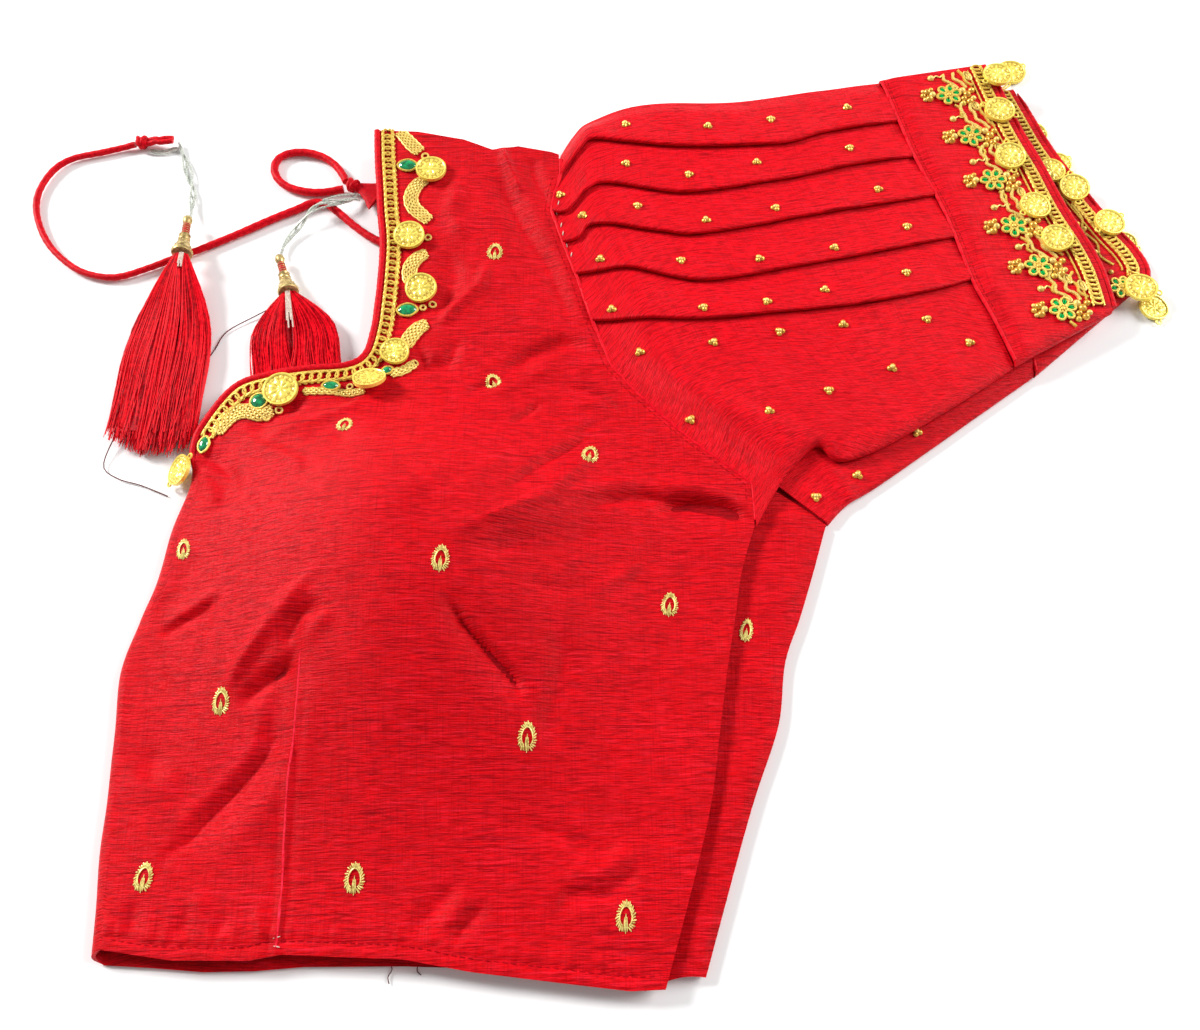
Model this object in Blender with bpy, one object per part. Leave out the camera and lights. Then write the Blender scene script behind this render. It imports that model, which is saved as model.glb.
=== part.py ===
"""A choli blouse, folded in half at its centre front and laid flat on a table.

Lengths in the tables are millimetres in the lay frame: X runs along the hem from the centre-front
fold, Y runs from the hem up to the shoulder, Z is the height above the table. The model itself is
in metres, with its origin under the middle of the garment.
"""
import math

import bmesh
import bpy
from mathutils import Vector
from mathutils.bvhtree import BVHTree

MM = 0.001
ORIGIN_X = 210.3
ORIGIN_Y = 199.5

# Cloth and seams
CLOTH = 1.6            # outer cloth with its lining
SLEEVE_CLOTH = 1.0     # unlined sleeve
BAND_CLOTH = 1.5       # doubled sleeve band
SEAM_GAP = 0.3
LAYER_GAP = 0.5        # between the top layer and the edge of the layers inside it
NECK_SINK = 1.2        # more below the neck
INNER_SINK = 2.8       # and over their middle, clear of the creases
PIPING = 3.3           # width of the piping round the neck
HEM = 4.4              # width of the turned hem

# Heights of the folded stack
EDGE_HEIGHT = 7.2      # top of the stack along the side seam and the hem
SHOULDER_RISE = 2.5
NECK_RISE = 3.5
BACK_LOW = 1.9
BACK_HIGH = 3.1
BUST_HEIGHT = 27.0
BUST_X = 98.0
BUST_Y = 157.0
BUST_LEFT = 108.0      # reach of the cup towards the fold, side, hem and neck
BUST_RIGHT = 122.0
BUST_HEM = 150.0
BUST_NECK = 80.0

# Sleeve heights
SLEEVE_FLOOR = 5.2     # middle of the right sleeve's lower ply
SLEEVE_ARMHOLE = 6.8   # middle of its upper ply at the armhole
SLEEVE_CROWN = 9.0     # and where it is fullest
PLY = 1.4              # pitch of the plies in a knife pleat
UNDERLAP = 4.0         # how far each pleat's cloth runs back under its edge
LEFT_FLOOR = 0.5
LEFT_CROWN = 3.6
BAND_TOP = 11.4
BAND_FALL = 0.6
BAND_LENGTH = 52.0
LEFT_BAND_TOP = 4.1

COIN_EDGE = 1.1
COIN_LIFT = 2.0        # coins on the neck, clear of the braid below them
RIGHT_COIN_LIFT = 1.9
LEFT_COIN_LIFT = 1.8
LOOSE_COIN_HEIGHT = 6.2
FLAT_COIN_HEIGHT = 0.6    # the coin that lies on the table beside the left cuff
BRAID_START = 8.62        # row where the neck braid ends at the stone beside the fold
STONE_LIFT = 0.5
DORI = 3.9
THREAD = 1.9

# row, fold or neck edge x y, edge of the layers inside x y, side seam or armhole x y,
# side seam or armhole of the left half below x y
BODY_ROWS = (
    ("hem", 0, 0, 2.5, -5, 200.5, -12.5, 215, -8),
    ("above hem", -3, 35, -3, 35, 212.5, 27, 229, 34),
    ("low waist", -5, 70, -5, 70, 219, 52, 236, 54),
    ("waist", -7, 100, -7, 100, 223.5, 80, 246, 80),
    ("under bust", -3.2, 120, -3.2, 120, 227.5, 104, 250, 104),
    ("low bust", 1.4, 136, 1.4, 136, 231, 122, 257, 122),
    ("bust", 4, 156, 4, 156, 234.5, 141, 264, 142),
    ("underarm", 8.5, 178, 8.5, 178, 240.5, 160, 270.5, 162),
    ("neck foot", 6.5, 194, 16, 188, 240.3, 170, 265, 167),
    ("neck 1", 9, 206, 30, 192, 240, 179, 250, 178),
    ("neck 2", 21, 224, 48, 197, 228, 189, 240, 188),
    ("neck 3", 36, 230, 62, 201, 221.5, 194, 234, 194),
    ("neck 4", 53, 233, 74, 206, 215, 199.5, 228, 200),
    ("neck 5", 68, 235, 84, 214, 203.5, 210.5, 217, 213),
    ("neck corner", 75, 240, 88, 226, 192, 222.5, 206, 227),
    ("strap 1", 77.5, 252, 87, 243, 182, 235, 198, 241),
    ("strap 2", 78.2, 266, 85, 260, 174, 256, 191, 260),
    ("strap 3", 78.5, 282, 84.5, 280, 166.5, 280.5, 185, 282),
    ("strap 4", 78, 298, 84, 297, 160.5, 297.5, 180, 298),
    ("strap 5", 75.8, 314, 82, 314, 155, 315, 176, 315),
    ("strap 6", 74, 330, 80, 330, 156, 326, 175, 326),
    ("strap 7", 72, 346, 78, 346, 158.7, 336, 175, 336),
    ("shoulder", 70.5, 362, 76, 359, 158.5, 348, 174, 345),
)
UNDERARM = 7
ROW_PITCH = 13.0
FRONT_COLUMNS = 15
DART_HALF = 0.014      # half width of the dart's ridge, as a share of the panel
FOLD_ARC = 4
INNER_COLUMNS = 8
HIDDEN_HEM_ROW = 0.06
UNDER_INSET = 0.6      # left front underneath, in from the left half's own outline
UNDER_NECK_INSET = 2.0
UNDER_SLIP = 5.0       # how much lower than the top the layer underneath ends at the fold
BACK_UNDER = 7.6       # left back, running under the right half
BACK_INSET = 0.4
BACK_HEM_UNDER = 5.5
BACK_HEM_STEPS = 4
HEM_SEAM_ROW = 0.13    # row coordinate where the panel meets its turned hem
HEM_EDGE = ((0, 0), (26, -3.5), (53, -3.5), (64.5, -1.5), (108, -3), (132, -7), (164, -10.5),
            (188, -13), (200.5, -12.5))
UNDER_HEM_EDGE = ((2.5, -5), (26, -6.2), (45, -7.8), (71.5, -5.5), (115, -5.2), (200, -9), (215, -8))
SHOULDER_EDGE = ((70.5, 362), (90, 361), (112.5, 356.5), (126.5, 350.5), (139, 352.5), (158.5, 348))
LOW_COLUMNS = (1.0, 0.75, 0.5, 0.32, 0.15)   # across the left front underneath
DART_COLUMN = 0.335
DART_TOP_Y = 108.0
DART_RIDGE = 0.9

# crease: start x y, middle x y, end x y, depth (a trough is negative), half width
CREASES = (
    ("dart drag", 63, 112, 56, 66, 21, 28, -2.2, 6.0),
    ("dart drag ridge", 70, 96, 66, 60, 34, 24, 1.3, 8.0),
    ("under cup", 116, 128, 135, 104, 152, 82, -2.4, 6.5),
    ("cup to armhole", 118, 150, 146, 158, 172, 180, 1.8, 8.0),
    ("cup to armhole low", 128, 143, 156, 148, 186, 160, -1.5, 7.0),
    ("underarm", 238, 162, 222, 168, 200, 166, -1.4, 5.0),
    ("strap drag", 132, 345, 140, 312, 150, 262, -1.6, 7.0),
    ("neck drag", 20, 200, 27, 178, 26, 160, -1.2, 5.0),
    ("side drag", 170, 48, 190, 40, 212, 44, -0.9, 7.0),
)

# line along the right sleeve, from the armhole to the band's seam
SLEEVE_LINES = (
    ("top fold", (158.8, 348.4), (165, 360), (173, 368.5), (198, 379), (243, 381), (283, 388),
     (313.5, 393)),
    ("pleat", (159, 336), (169, 350), (177, 354.5), (214, 351.5), (262, 353), (286, 360.5),
     (319.5, 367.5)),
    ("pleat", (155.3, 315), (163, 315), (172, 325.5), (184, 329), (219, 324.5), (262, 332),
     (299, 341.5), (324.5, 346)),
    ("pleat", (160.8, 297.6), (168.5, 300), (175, 306), (205, 302.5), (224, 301), (271, 311),
     (332, 323.5)),
    ("pleat", (166.8, 280.6), (177, 281.5), (193, 282), (222, 276), (259, 282), (295, 290),
     (338, 300)),
    ("pleat", (174.3, 256.1), (187, 255.8), (217, 255.8), (242, 257.6), (292, 264), (324, 271),
     (342.5, 277)),
    ("plain", (182.3, 235.2), (205, 237), (250, 241), (300, 252), (345.5, 267)),
    ("plain", (192.3, 222.8), (225, 226), (262, 231), (305, 243), (348.5, 259)),
    ("plain", (215.3, 199.8), (240, 209), (265, 214), (306, 228), (352.5, 246.5)),
    ("plain", (228.2, 189.3), (247, 199), (267, 205), (307, 217), (354.5, 239)),
    ("plain", (240.3, 179.2), (251, 188), (268, 200), (308, 208), (355, 237.6)),
    ("low fold", (241, 160), (249, 174), (256.5, 185), (268.4, 196), (276, 189.5), (289, 192.5),
     (308, 202.5), (335, 219.5), (356, 234)),
)
SLEEVE_STATIONS = (0.0, 0.07, 0.17, 0.26, 0.38, 0.52, 0.68, 0.84, 1.0)
RIDGE_FOOT = (216, 219)     # soft ridge from the armhole to the notch in the low fold
RIDGE_TIP = (268, 196)

LEFT_SLEEVE_LINES = (
    ("top fold", (174.5, 345.3), (200, 362), (260, 372), (330, 384)),
    ("plain", (176.2, 315), (215, 320), (270, 326), (346, 336)),
    ("plain", (191.2, 260.2), (230, 262), (290, 272), (358, 288)),
    ("plain", (217.3, 213.3), (255, 222), (305, 240), (364, 262)),
    ("plain", (240.3, 188.3), (262, 196), (306, 216), (366, 246)),
    ("low fold", (270.8, 162.3), (279, 171), (293, 180), (319, 198.5), (340.5, 214), (366.5, 232.5)),
)
LEFT_STATIONS = (0.0, 0.08, 0.18, 0.32, 0.5, 0.7, 0.85, 1.0)

# across the band: seam x y, mouth x y
BAND_LINES = (
    ("top fold", 313.9, 393.1, 366, 402.5),
    ("row 1", 319.9, 367.6, 374.5, 366),
    ("row 2", 324.9, 346.1, 382, 342.7),
    ("row 3", 332.4, 323.6, 389, 317.3),
    ("row 4", 338.4, 300.1, 396, 297.8),
    ("row 5", 342.9, 277.1, 400, 284),
    ("row 6", 348.9, 259.1, 401.5, 272),
    ("low fold", 356.4, 234.2, 402.2, 260.4),
)
LEFT_BAND_LINES = (
    ("top fold", 330.4, 384.1, 380.4, 393),
    ("row 1", 346.4, 336.1, 392, 356),
    ("row 2", 354.4, 305, 406, 326),
    ("row 3", 358.4, 288.1, 415.5, 308),
    ("row 4", 364.4, 262.1, 421.5, 298),
    ("row 5", 366.4, 246.1, 424.6, 288),
    ("low fold", 366.9, 232.6, 423, 280),
)

# coin: x, y, diameter, tilt about the row's Y axis in degrees
NECK_COINS = ((99.5, 336.7, 14, 0), (91.8, 300, 14, 0), (98.8, 272, 14, 0), (89.5, 239.5, 12.5, 0),
              (79.8, 224.3, 14, 0), (43.5, 219.5, 15, 0), (4.0, 185.2, 13.5, -38))
RIGHT_COINS = ((369.5, 392.5, 13.5), (367.5, 371, 14), (368.6, 343.5, 14), (375.7, 315, 14),
               (382.8, 297, 14))
LEFT_COINS = ((382.3, 406.5, 14), (389.9, 340.9, 12.5), (399, 331, 14), (411.8, 311, 14),
              (419.5, 275.5, 14))

# stone: x, y, length, width, turn in degrees
STONES = ((88.5, 340.5, 8.4, 5.0, -4), (92.6, 262.0, 7.6, 4.6, 4), (86.8, 230.6, 4.6, 3.2, 30),
          (64.0, 222.0, 6.4, 3.8, 0), (34.5, 215.0, 6.0, 5.4, 0), (13.4, 195.8, 6.6, 3.8, 80))
FLOWERS = ((345.2, 381.7), (352.5, 356.6), (359.3, 330.7), (365, 304.7), (372.7, 282.9),
           (380.0, 260.5))
LEFT_FLOWER = (411.5, 276.5)
FLOWER = 11.5
# scroll braid: x, y, width
SCROLL_ROUTE = ((86.5, 357, 3.4), (93, 350, 5.6), (98.6, 338, 5.0), (96.5, 328, 5.4), (92.5, 319, 6.2),
                (97, 309, 5.6), (97.5, 301, 4.6), (97.5, 292, 5.4), (95.5, 283, 5.8), (98.5, 273, 4.8),
                (101.5, 264, 4.2), (100.8, 253, 5.8), (97.5, 244, 5.6), (93.5, 234, 4.2),
                (87, 221.5, 3.2), (74, 217.4, 2.6), (58, 217.2, 2.6), (48, 214.2, 3.6), (39, 208.6, 5.2),
                (29, 207, 6.4), (23, 203, 5.2), (20, 196.5, 3.2))
BRAID_WIDTH = 6.2
BRAID_HIGH = 1.1
BRAID_PITCH = 4.2
CUFF_BRAID = 5.2
CUFF_BRAID_INSET = 6.0
CUFF_PIPING = 2.4
PIPING_PITCH = 9.0
TASSEL_HEAD = 0.05     # share of a tassel's length that is its bound head

DORI_1_ROUTE = ((79.0, 302, 2.3), (71.5, 306.5, 2), (64, 312.5, 2), (56.5, 319.5, 2), (50, 325, 2),
                (43.5, 325.5, 2), (36.5, 321.8, 2), (27, 317, 2), (12, 308.5, 2), (-4, 300, 2),
                (-16, 294.6, 2), (-28, 288.8, 2), (-41.5, 284, 2), (-55, 286, 2), (-66, 292.5, 2),
                (-76.5, 303.5, 2), (-84, 318, 2), (-86, 331, 2), (-82, 344, 2), (-74, 351.5, 2),
                (-60, 355.5, 2), (-51, 358.2, 2), (-45, 359.8, 2.6))
DORI_2_ROUTE = ((58.2, 337.6, 2.4), (56, 342, 2), (52, 347.6, 2), (46, 352.4, 2), (38, 355.2, 2),
                (30, 355, 2), (24.5, 351.5, 2), (23.2, 345.5, 2), (26, 339, 2), (31.5, 334.6, 2),
                (40, 332, 2), (48, 331.8, 2), (57.2, 333.4, 2.4))
THREAD_1_ROUTE = ((-24.5, 361.4, 1.6), (-22.5, 356, 1.4), (-19.8, 349, 1.2), (-16.5, 340, 1.2),
                  (-13.5, 330, 1.3), (-11.8, 321, 2.4), (-11.6, 315.2, 4.4))
THREAD_2_ROUTE = ((64.2, 329.3, 2.4), (61.5, 326, 3.6), (57, 323.6, 5.2), (52, 322.6, 5.8),
                  (47, 320.6, 5.8), (42.5, 316.3, 5.2), (38, 310.6, 2.6), (34.5, 304.5, 1.6),
                  (32.6, 298.8, 2.0), (32.3, 295.2, 2.8))

# radius and distance along a knot; the first one has the tie's end behind it
SHORT_KNOT = ((0, -2.8), (2.0, -2.5), (3.1, -1.0), (3.1, 1.0), (2.0, 2.5), (0, 2.8))
TAILED_KNOT = ((0, -2.8), (2.0, -2.5), (3.1, -1.0), (3.1, 1.0), (1.9, 2.6), (1.7, 5.5), (1.8, 12.0),
               (2.0, 13.8), (1.3, 15.0), (0, 15.2))
# knot: middle, a point that it faces, shape
KNOTS = (("knot_1", (-41.6, 360.4, 3.2), (-20, 361.6, 3.2), TAILED_KNOT),
         ("knot_2", (61.5, 334.8, 3.2), (70, 331, 3.2), SHORT_KNOT))
# end of the second tie between its knot and the strap: x, y, width
TIE_ROOT = ((65.6, 333.2, 4.6), (68.6, 331.4, 7.5), (71.6, 329.6, 12), (74.6, 328.4, 17))
TIE_ROOT_HEIGHT = 2.6
# cap: bead end, open end
CAPS = (("cap_1", (-11.8, 314.6, 6.0), (-10.2, 291.0, 9.4)),
        ("cap_2", (31.6, 294.6, 3.8), (39.4, 272.2, 6.8)))
# tassel: head, foot, length, head width and height, foot width and height, strands across and high,
# share of the length where the fan is fully spread
TASSELS = (
    ("tassel_1", (-10.2, 289.9, 9.3), (-12.5, 192, 4.0), 97.0, (6.4, 4.6), (36.0, 6.2), 10, 4, 0.62),
    ("tassel_2", (39.6, 271.4, 6.6), (49.0, 215, 3.4), 57.0, (6.4, 4.6), (38.0, 5.4), 8, 4, 0.45),
)

RED = (0.62, 0.008, 0.018)
DEEP_RED = (0.52, 0.005, 0.015)
GOLD = (0.80, 0.52, 0.12)
PALE_GOLD = (0.85, 0.62, 0.20)
GREEN = (0.0, 0.30, 0.08)
SILVER = (0.75, 0.76, 0.78)


def clear_scene():
    for item in list(bpy.data.objects):
        bpy.data.objects.remove(item, do_unlink=True)


def material(name, colour, roughness, metallic):
    made = bpy.data.materials.new(name)
    made.use_nodes = True
    shader = made.node_tree.nodes["Principled BSDF"]
    shader.inputs["Base Color"].default_value = (*colour, 1.0)
    shader.inputs["Roughness"].default_value = roughness
    shader.inputs["Metallic"].default_value = metallic
    return made


def place(x, y, z):
    return Vector(((x - ORIGIN_X) * MM, (y - ORIGIN_Y) * MM, z * MM))


def add_object(name, mesh, finish, smooth_angle=math.radians(40)):
    item = bpy.data.objects.new(name, mesh)
    bpy.context.scene.collection.objects.link(item)
    mesh.materials.append(finish)
    mesh.shade_smooth()
    mesh.set_sharp_from_angle(angle=smooth_angle)
    return item


def mesh_from(name, points, faces):
    mesh = bpy.data.meshes.new(name)
    mesh.from_pydata([place(*p) for p in points], [], faces)
    mesh.validate()
    return mesh


# ---- curves and small vector helpers, in millimetres --------------------------------------------

def mix(a, b, t):
    return tuple(p + (q - p) * t for p, q in zip(a, b))


def smooth(t):
    t = min(max(t, 0.0), 1.0)
    return t * t * (3 - 2 * t)


def catmull(points, t):
    """Point at t on a smooth curve through points; t counts the points from 0."""
    i = min(max(int(t), 0), len(points) - 2)
    f = t - i
    a = points[max(i - 1, 0)]
    b = points[i]
    c = points[i + 1]
    d = points[min(i + 2, len(points) - 1)]
    return tuple(
        0.5 * (2 * q + (r - p) * f + (2 * p - 5 * q + 4 * r - s) * f * f + (3 * q - p - 3 * r + s) * f ** 3)
        for p, q, r, s in zip(a, b, c, d))


def along(points, share):
    """Point at a share of a polyline's length."""
    lengths = [math.dist(p, q) for p, q in zip(points, points[1:])]
    left = share * sum(lengths)
    for p, q, length in zip(points, points[1:], lengths):
        if left <= length:
            return mix(p, q, left / length)
        left -= length
    return tuple(float(v) for v in points[-1])


def evenly(points, pitch):
    """Points every pitch or so along a smooth curve through a route."""
    fine = [catmull(points, i / 8) for i in range(8 * (len(points) - 1) + 1)]
    length = sum(math.dist(p, q) for p, q in zip(fine, fine[1:]))
    count = max(2, round(length / pitch))
    return [along(fine, i / count) for i in range(count + 1)]


def left_normal(before, after):
    dx = after[0] - before[0]
    dy = after[1] - before[1]
    size = math.hypot(dx, dy)
    return (-dy / size, dx / size)


# ---- shape of the body ---------------------------------------------------------------------------

def crease_height(x, y):
    total = 0.0
    for _, x0, y0, x1, y1, x2, y2, depth, width in CREASES:
        near = 1e9
        share = 0.0
        for k, (p, q) in enumerate((((x0, y0), (x1, y1)), ((x1, y1), (x2, y2)))):
            dx = q[0] - p[0]
            dy = q[1] - p[1]
            t = min(max(((x - p[0]) * dx + (y - p[1]) * dy) / (dx * dx + dy * dy), 0.0), 1.0)
            away = math.hypot(x - p[0] - t * dx, y - p[1] - t * dy)
            if away < near:
                near = away
                share = (k + t) / 2
        fade = smooth(share * 4) * smooth((1 - share) * 4)
        total += depth * fade * math.exp(-(near / width) ** 2)
    return total


def bust(x, y):
    across = (x - BUST_X) / (BUST_LEFT if x < BUST_X else BUST_RIGHT)
    upward = (y - BUST_Y) / (BUST_NECK if y > BUST_Y else BUST_HEM)
    reach = min(math.hypot(across, upward), 1.0)
    return BUST_HEIGHT * math.cos(reach * math.pi / 2) ** 2


def smooth_height(x, y):
    rise = SHOULDER_RISE * smooth((y - 190) / 140)
    neck = NECK_RISE * math.exp(-((x - 48) / 34) ** 2 - ((y - 226) / 26) ** 2)
    return EDGE_HEIGHT + rise + neck + bust(x, y)


def front_height(x, y):
    """Outer surface of the folded garment's top layer."""
    return smooth_height(x, y) + crease_height(x, y)


def row_point(t, first):
    """Smooth point of one of the body's four edge lines at row t; first is its x column."""
    if first in (5, 7) and t >= UNDERARM:
        i = min(int(t), len(BODY_ROWS) - 2)
        return mix(BODY_ROWS[i][first:first + 2], BODY_ROWS[i + 1][first:first + 2], t - i)
    stop = UNDERARM + 1 if first in (5, 7) else len(BODY_ROWS)
    return catmull([row[first:first + 2] for row in BODY_ROWS[:stop]], t)


def row_steps(first_row=0.0):
    """Row coordinates about ROW_PITCH apart, with every table row among them."""
    steps = [first_row]
    for i in range(len(BODY_ROWS) - 1):
        low = max(float(i), first_row)
        a = BODY_ROWS[i]
        b = BODY_ROWS[i + 1]
        span = max(math.dist(a[1:3], b[1:3]), math.dist(a[5:7], b[5:7])) * (i + 1 - low)
        count = max(1, round(span / ROW_PITCH))
        steps += [low + (i + 1 - low) * k / count for k in range(1, count + 1)]
    return steps


def inward(t, first):
    """Unit normal of an edge line, pointing into the garment."""
    before = row_point(max(t - 0.15, 0.0), first)
    after = row_point(min(t + 0.15, len(BODY_ROWS) - 1.0), first)
    nx, ny = left_normal(before, after)
    return (-nx, -ny) if first in (1, 3) else (nx, ny)


def shifted(point, normal, distance):
    return (point[0] + normal[0] * distance, point[1] + normal[1] * distance)


def fold_radius(t):
    edge = row_point(t, 1)
    return front_height(edge[0] + 4.0, edge[1]) / 2


def edge_blend(u, t, hem):
    """How far the hem and the shoulder seam bow away from the straight row, faded inwards."""
    last = len(BODY_ROWS) - 1
    near_hem = max(0.0, 1 - t / 3) ** 2
    near_shoulder = max(0.0, 1 - (last - t) / 3) ** 2
    dx = dy = 0.0
    for weight, edge in ((near_hem, hem), (near_shoulder, SHOULDER_EDGE)):
        if weight:
            bow = along(edge, u)
            chord = mix(edge[0], edge[-1], u)
            dx += weight * (bow[0] - chord[0])
            dy += weight * (bow[1] - chord[1])
    return dx, dy


def panel_point(u, t, left, right, hem=HEM_EDGE):
    x, y = mix(left, right, u)
    dx, dy = edge_blend(u, t, hem)
    return (x + dx, y + dy)


def front_left(t):
    edge = row_point(t, 1)
    inset = fold_radius(t) if t <= UNDERARM else PIPING + SEAM_GAP
    return shifted(edge, inward(t, 1), inset)


def under_left(t, radius):
    """Left front underneath, where the fold ends on the table; it slips down at the hem."""
    x, y = shifted(row_point(t, 1), inward(t, 1), radius)
    return (x, y - UNDER_SLIP * max(0.0, 1 - t) ** 2)


def dart(u, x, y):
    """Height of the dart's ridge, which runs up one column of points."""
    if y > DART_TOP_Y or abs(u - DART_COLUMN) > 1e-6:
        return 0.0
    return DART_RIDGE * smooth((DART_TOP_Y - y) / 40)


# ---- mesh builders -------------------------------------------------------------------------------

def wall(name, outer, inner, finish, wrap=False):
    """A closed cloth wall from rows of outer and inner points; None leaves a slit."""
    rows = len(outer)
    cols = len(outer[0])
    index = {}
    points = []
    for side, grid in enumerate((outer, inner)):
        for i in range(rows):
            for j in range(cols):
                if grid[i][j] is not None:
                    index[side, i, j] = len(points)
                    points.append(grid[i][j])
    faces = []
    edges = {}
    for i in range(rows - 1):
        for j in range(cols if wrap else cols - 1):
            ring = [(i, j), (i, (j + 1) % cols), (i + 1, (j + 1) % cols), (i + 1, j)]
            if any((0, *c) not in index for c in ring):
                continue
            faces.append([index[(0, *c)] for c in ring])
            faces.append([index[(1, *c)] for c in reversed(ring)])
            for a, b in zip(ring, ring[1:] + ring[:1]):
                edges[a, b] = edges.get((a, b), 0) + 1
    for a, b in edges:
        if (b, a) not in edges:
            faces.append([index[(0, *b)], index[(0, *a)], index[(1, *a)], index[(1, *b)]])
    return add_object(name, mesh_from(name, points, faces), finish)


def strip_faces(count, sides):
    """Faces of a strip of rings, closed at both ends."""
    faces = []
    for k in range(count - 1):
        for s in range(sides):
            a = k * sides + s
            b = k * sides + (s + 1) % sides
            faces.append((a, b, b + sides, a + sides))
    last = (count - 1) * sides
    faces.append(tuple(reversed(range(sides))))
    faces.append(tuple(range(last, last + sides)))
    return faces


def sweep(name, path, sections, finish):
    """A closed strip: path gives x, y, z; sections gives a list of across, up pairs at each point."""
    points = []
    sides = len(sections[0])
    for k, (x, y, z) in enumerate(path):
        nx, ny = left_normal(path[max(k - 1, 0)], path[min(k + 1, len(path) - 1)])
        points += [(x + nx * a, y + ny * a, z + up) for a, up in sections[k]]
    return add_object(name, mesh_from(name, points, strip_faces(len(path), sides)), finish)


def oval(width, height, sides=6):
    angles = [2 * math.pi * (k + 1) / sides for k in range(sides)]
    return [(width / 2 * math.cos(angle), height / 2 * math.sin(angle)) for angle in angles]


def turned(name, profile, finish, frame, sides):
    """A turned piece: profile gives radius, height pairs from the bottom centre to the top centre."""
    centre, u, v, w = frame
    points = [tuple(centre[i] + profile[0][1] * w[i] for i in range(3))]
    for radius, height in profile[1:-1]:
        for k in range(sides):
            c = radius * math.cos(2 * math.pi * k / sides)
            s = radius * math.sin(2 * math.pi * k / sides)
            points.append(tuple(centre[i] + c * u[i] + s * v[i] + height * w[i] for i in range(3)))
    points.append(tuple(centre[i] + profile[-1][1] * w[i] for i in range(3)))
    faces = []
    rings = len(profile) - 2
    for k in range(sides):
        n = (k + 1) % sides
        faces.append((0, 1 + n, 1 + k))
        for r in range(rings - 1):
            a = 1 + r * sides
            b = a + sides
            faces.append((a + k, a + n, b + n, b + k))
        top = 1 + (rings - 1) * sides
        faces.append((top + k, top + n, len(points) - 1))
    return add_object(name, mesh_from(name, points, faces), finish, math.radians(35))


def tilted_frame(x, y, z, tilt):
    c = math.cos(math.radians(tilt))
    s = math.sin(math.radians(tilt))
    return ((x, y, z), (c, 0, -s), (0, 1, 0), (s, 0, c))


def surface_frame(x, y, lift, height):
    """Frame lying on a height function at x, y."""
    step = 4.0
    gx = (height(x + step, y) - height(x - step, y)) / (2 * step)
    gy = (height(x, y + step) - height(x, y - step)) / (2 * step)
    w = Vector((-gx, -gy, 1)).normalized()
    u = Vector((1, 0, gx)).normalized()
    v = w.cross(u)
    return ((x + w.x * lift, y + w.y * lift, height(x, y) + w.z * lift), tuple(u), tuple(v), tuple(w))


# ---- body pieces ---------------------------------------------------------------------------------

def front_columns():
    """Shares of the panel's width that have a column of points, three of them on the dart."""
    even = [k / FRONT_COLUMNS for k in range(FRONT_COLUMNS + 1) if k != 5]
    dart_columns = [DART_COLUMN - DART_HALF, DART_COLUMN, DART_COLUMN + DART_HALF]
    return sorted(even + dart_columns)


def front(finish):
    """Right front on top, wrapped round the fold into the left front on the table."""
    columns = front_columns()
    outer = []
    inner = []
    for t in row_steps():
        top_t = max(t, HEM_SEAM_ROW)
        left = front_left(top_t)
        right = row_point(top_t, 5)
        radius = fold_radius(t)
        normal = inward(t, 1)
        folded = t <= UNDERARM
        low_edge = row_point(t, 3)
        low_t = max(t, HEM_SEAM_ROW)
        if folded:
            low_left = under_left(low_t, radius)
        else:
            low_left = shifted(low_edge, inward(t, 3), UNDER_NECK_INSET)
        low_right = shifted(row_point(low_t, 7), inward(t, 7), UNDER_INSET)
        out_row = []
        in_row = []
        for u in LOW_COLUMNS:
            x, y = panel_point(u, low_t, low_left, low_right, UNDER_HEM_EDGE)
            out_row.append((x, y, 0.0))
            in_row.append((x, y, CLOTH))
        for k in range(FOLD_ARC + 1):
            if not folded:
                out_row.append(None if k else (*low_left, 0.0))
                in_row.append(None if k else (*low_left, CLOTH))
                continue
            angle = -math.pi / 2 + math.pi * k / FOLD_ARC
            centre = mix(low_left, left, k / FOLD_ARC)
            away = math.cos(angle)
            for row, r in ((out_row, radius), (in_row, radius - CLOTH)):
                row.append((centre[0] - normal[0] * r * away, centre[1] - normal[1] * r * away,
                            radius + r * math.sin(angle)))
        if not folded:
            out_row[-1] = (*left, front_height(*left))
            in_row[-1] = (*left, front_height(*left) - CLOTH)
        for u in columns[1:]:
            x, y = panel_point(u, top_t, left, right)
            z = front_height(x, y)
            out_row.append((x, y, z + dart(u, x, y)))
            in_row.append((x, y, z - CLOTH))
        outer.append(out_row)
        inner.append(in_row)
    return wall("front", outer, inner, finish)


def hidden_outline():
    """Closed outline of the inner layers, with its inward normal and its side, counter-clockwise."""
    last = len(BODY_ROWS) - 1
    steps = [t for t in row_steps() if t > 0]
    ring = []
    start = HIDDEN_HEM_ROW
    for k in range(INNER_COLUMNS + 1):
        u = k / INNER_COLUMNS
        x, y = panel_point(u, start, row_point(start, 1), row_point(start, 5))
        ring.append((x, y, (0.0, 1.0), "hem", start))
    for t in steps:
        ring.append((*row_point(t, 5), inward(t, 5), "side", t))
    shoulder_count = INNER_COLUMNS // 2
    for k in range(shoulder_count - 1, 0, -1):
        u = k / shoulder_count
        x, y = panel_point(u, last, row_point(last, 3), row_point(last, 5))
        ring.append((x, y, (0.1, -1.0), "shoulder", last))
    for t in reversed(steps):
        ring.append((*row_point(t, 3 if t > UNDERARM else 1), inward(t, 3 if t > UNDERARM else 1),
                     "neck" if t > UNDERARM else "fold", t))
    return ring


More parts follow.
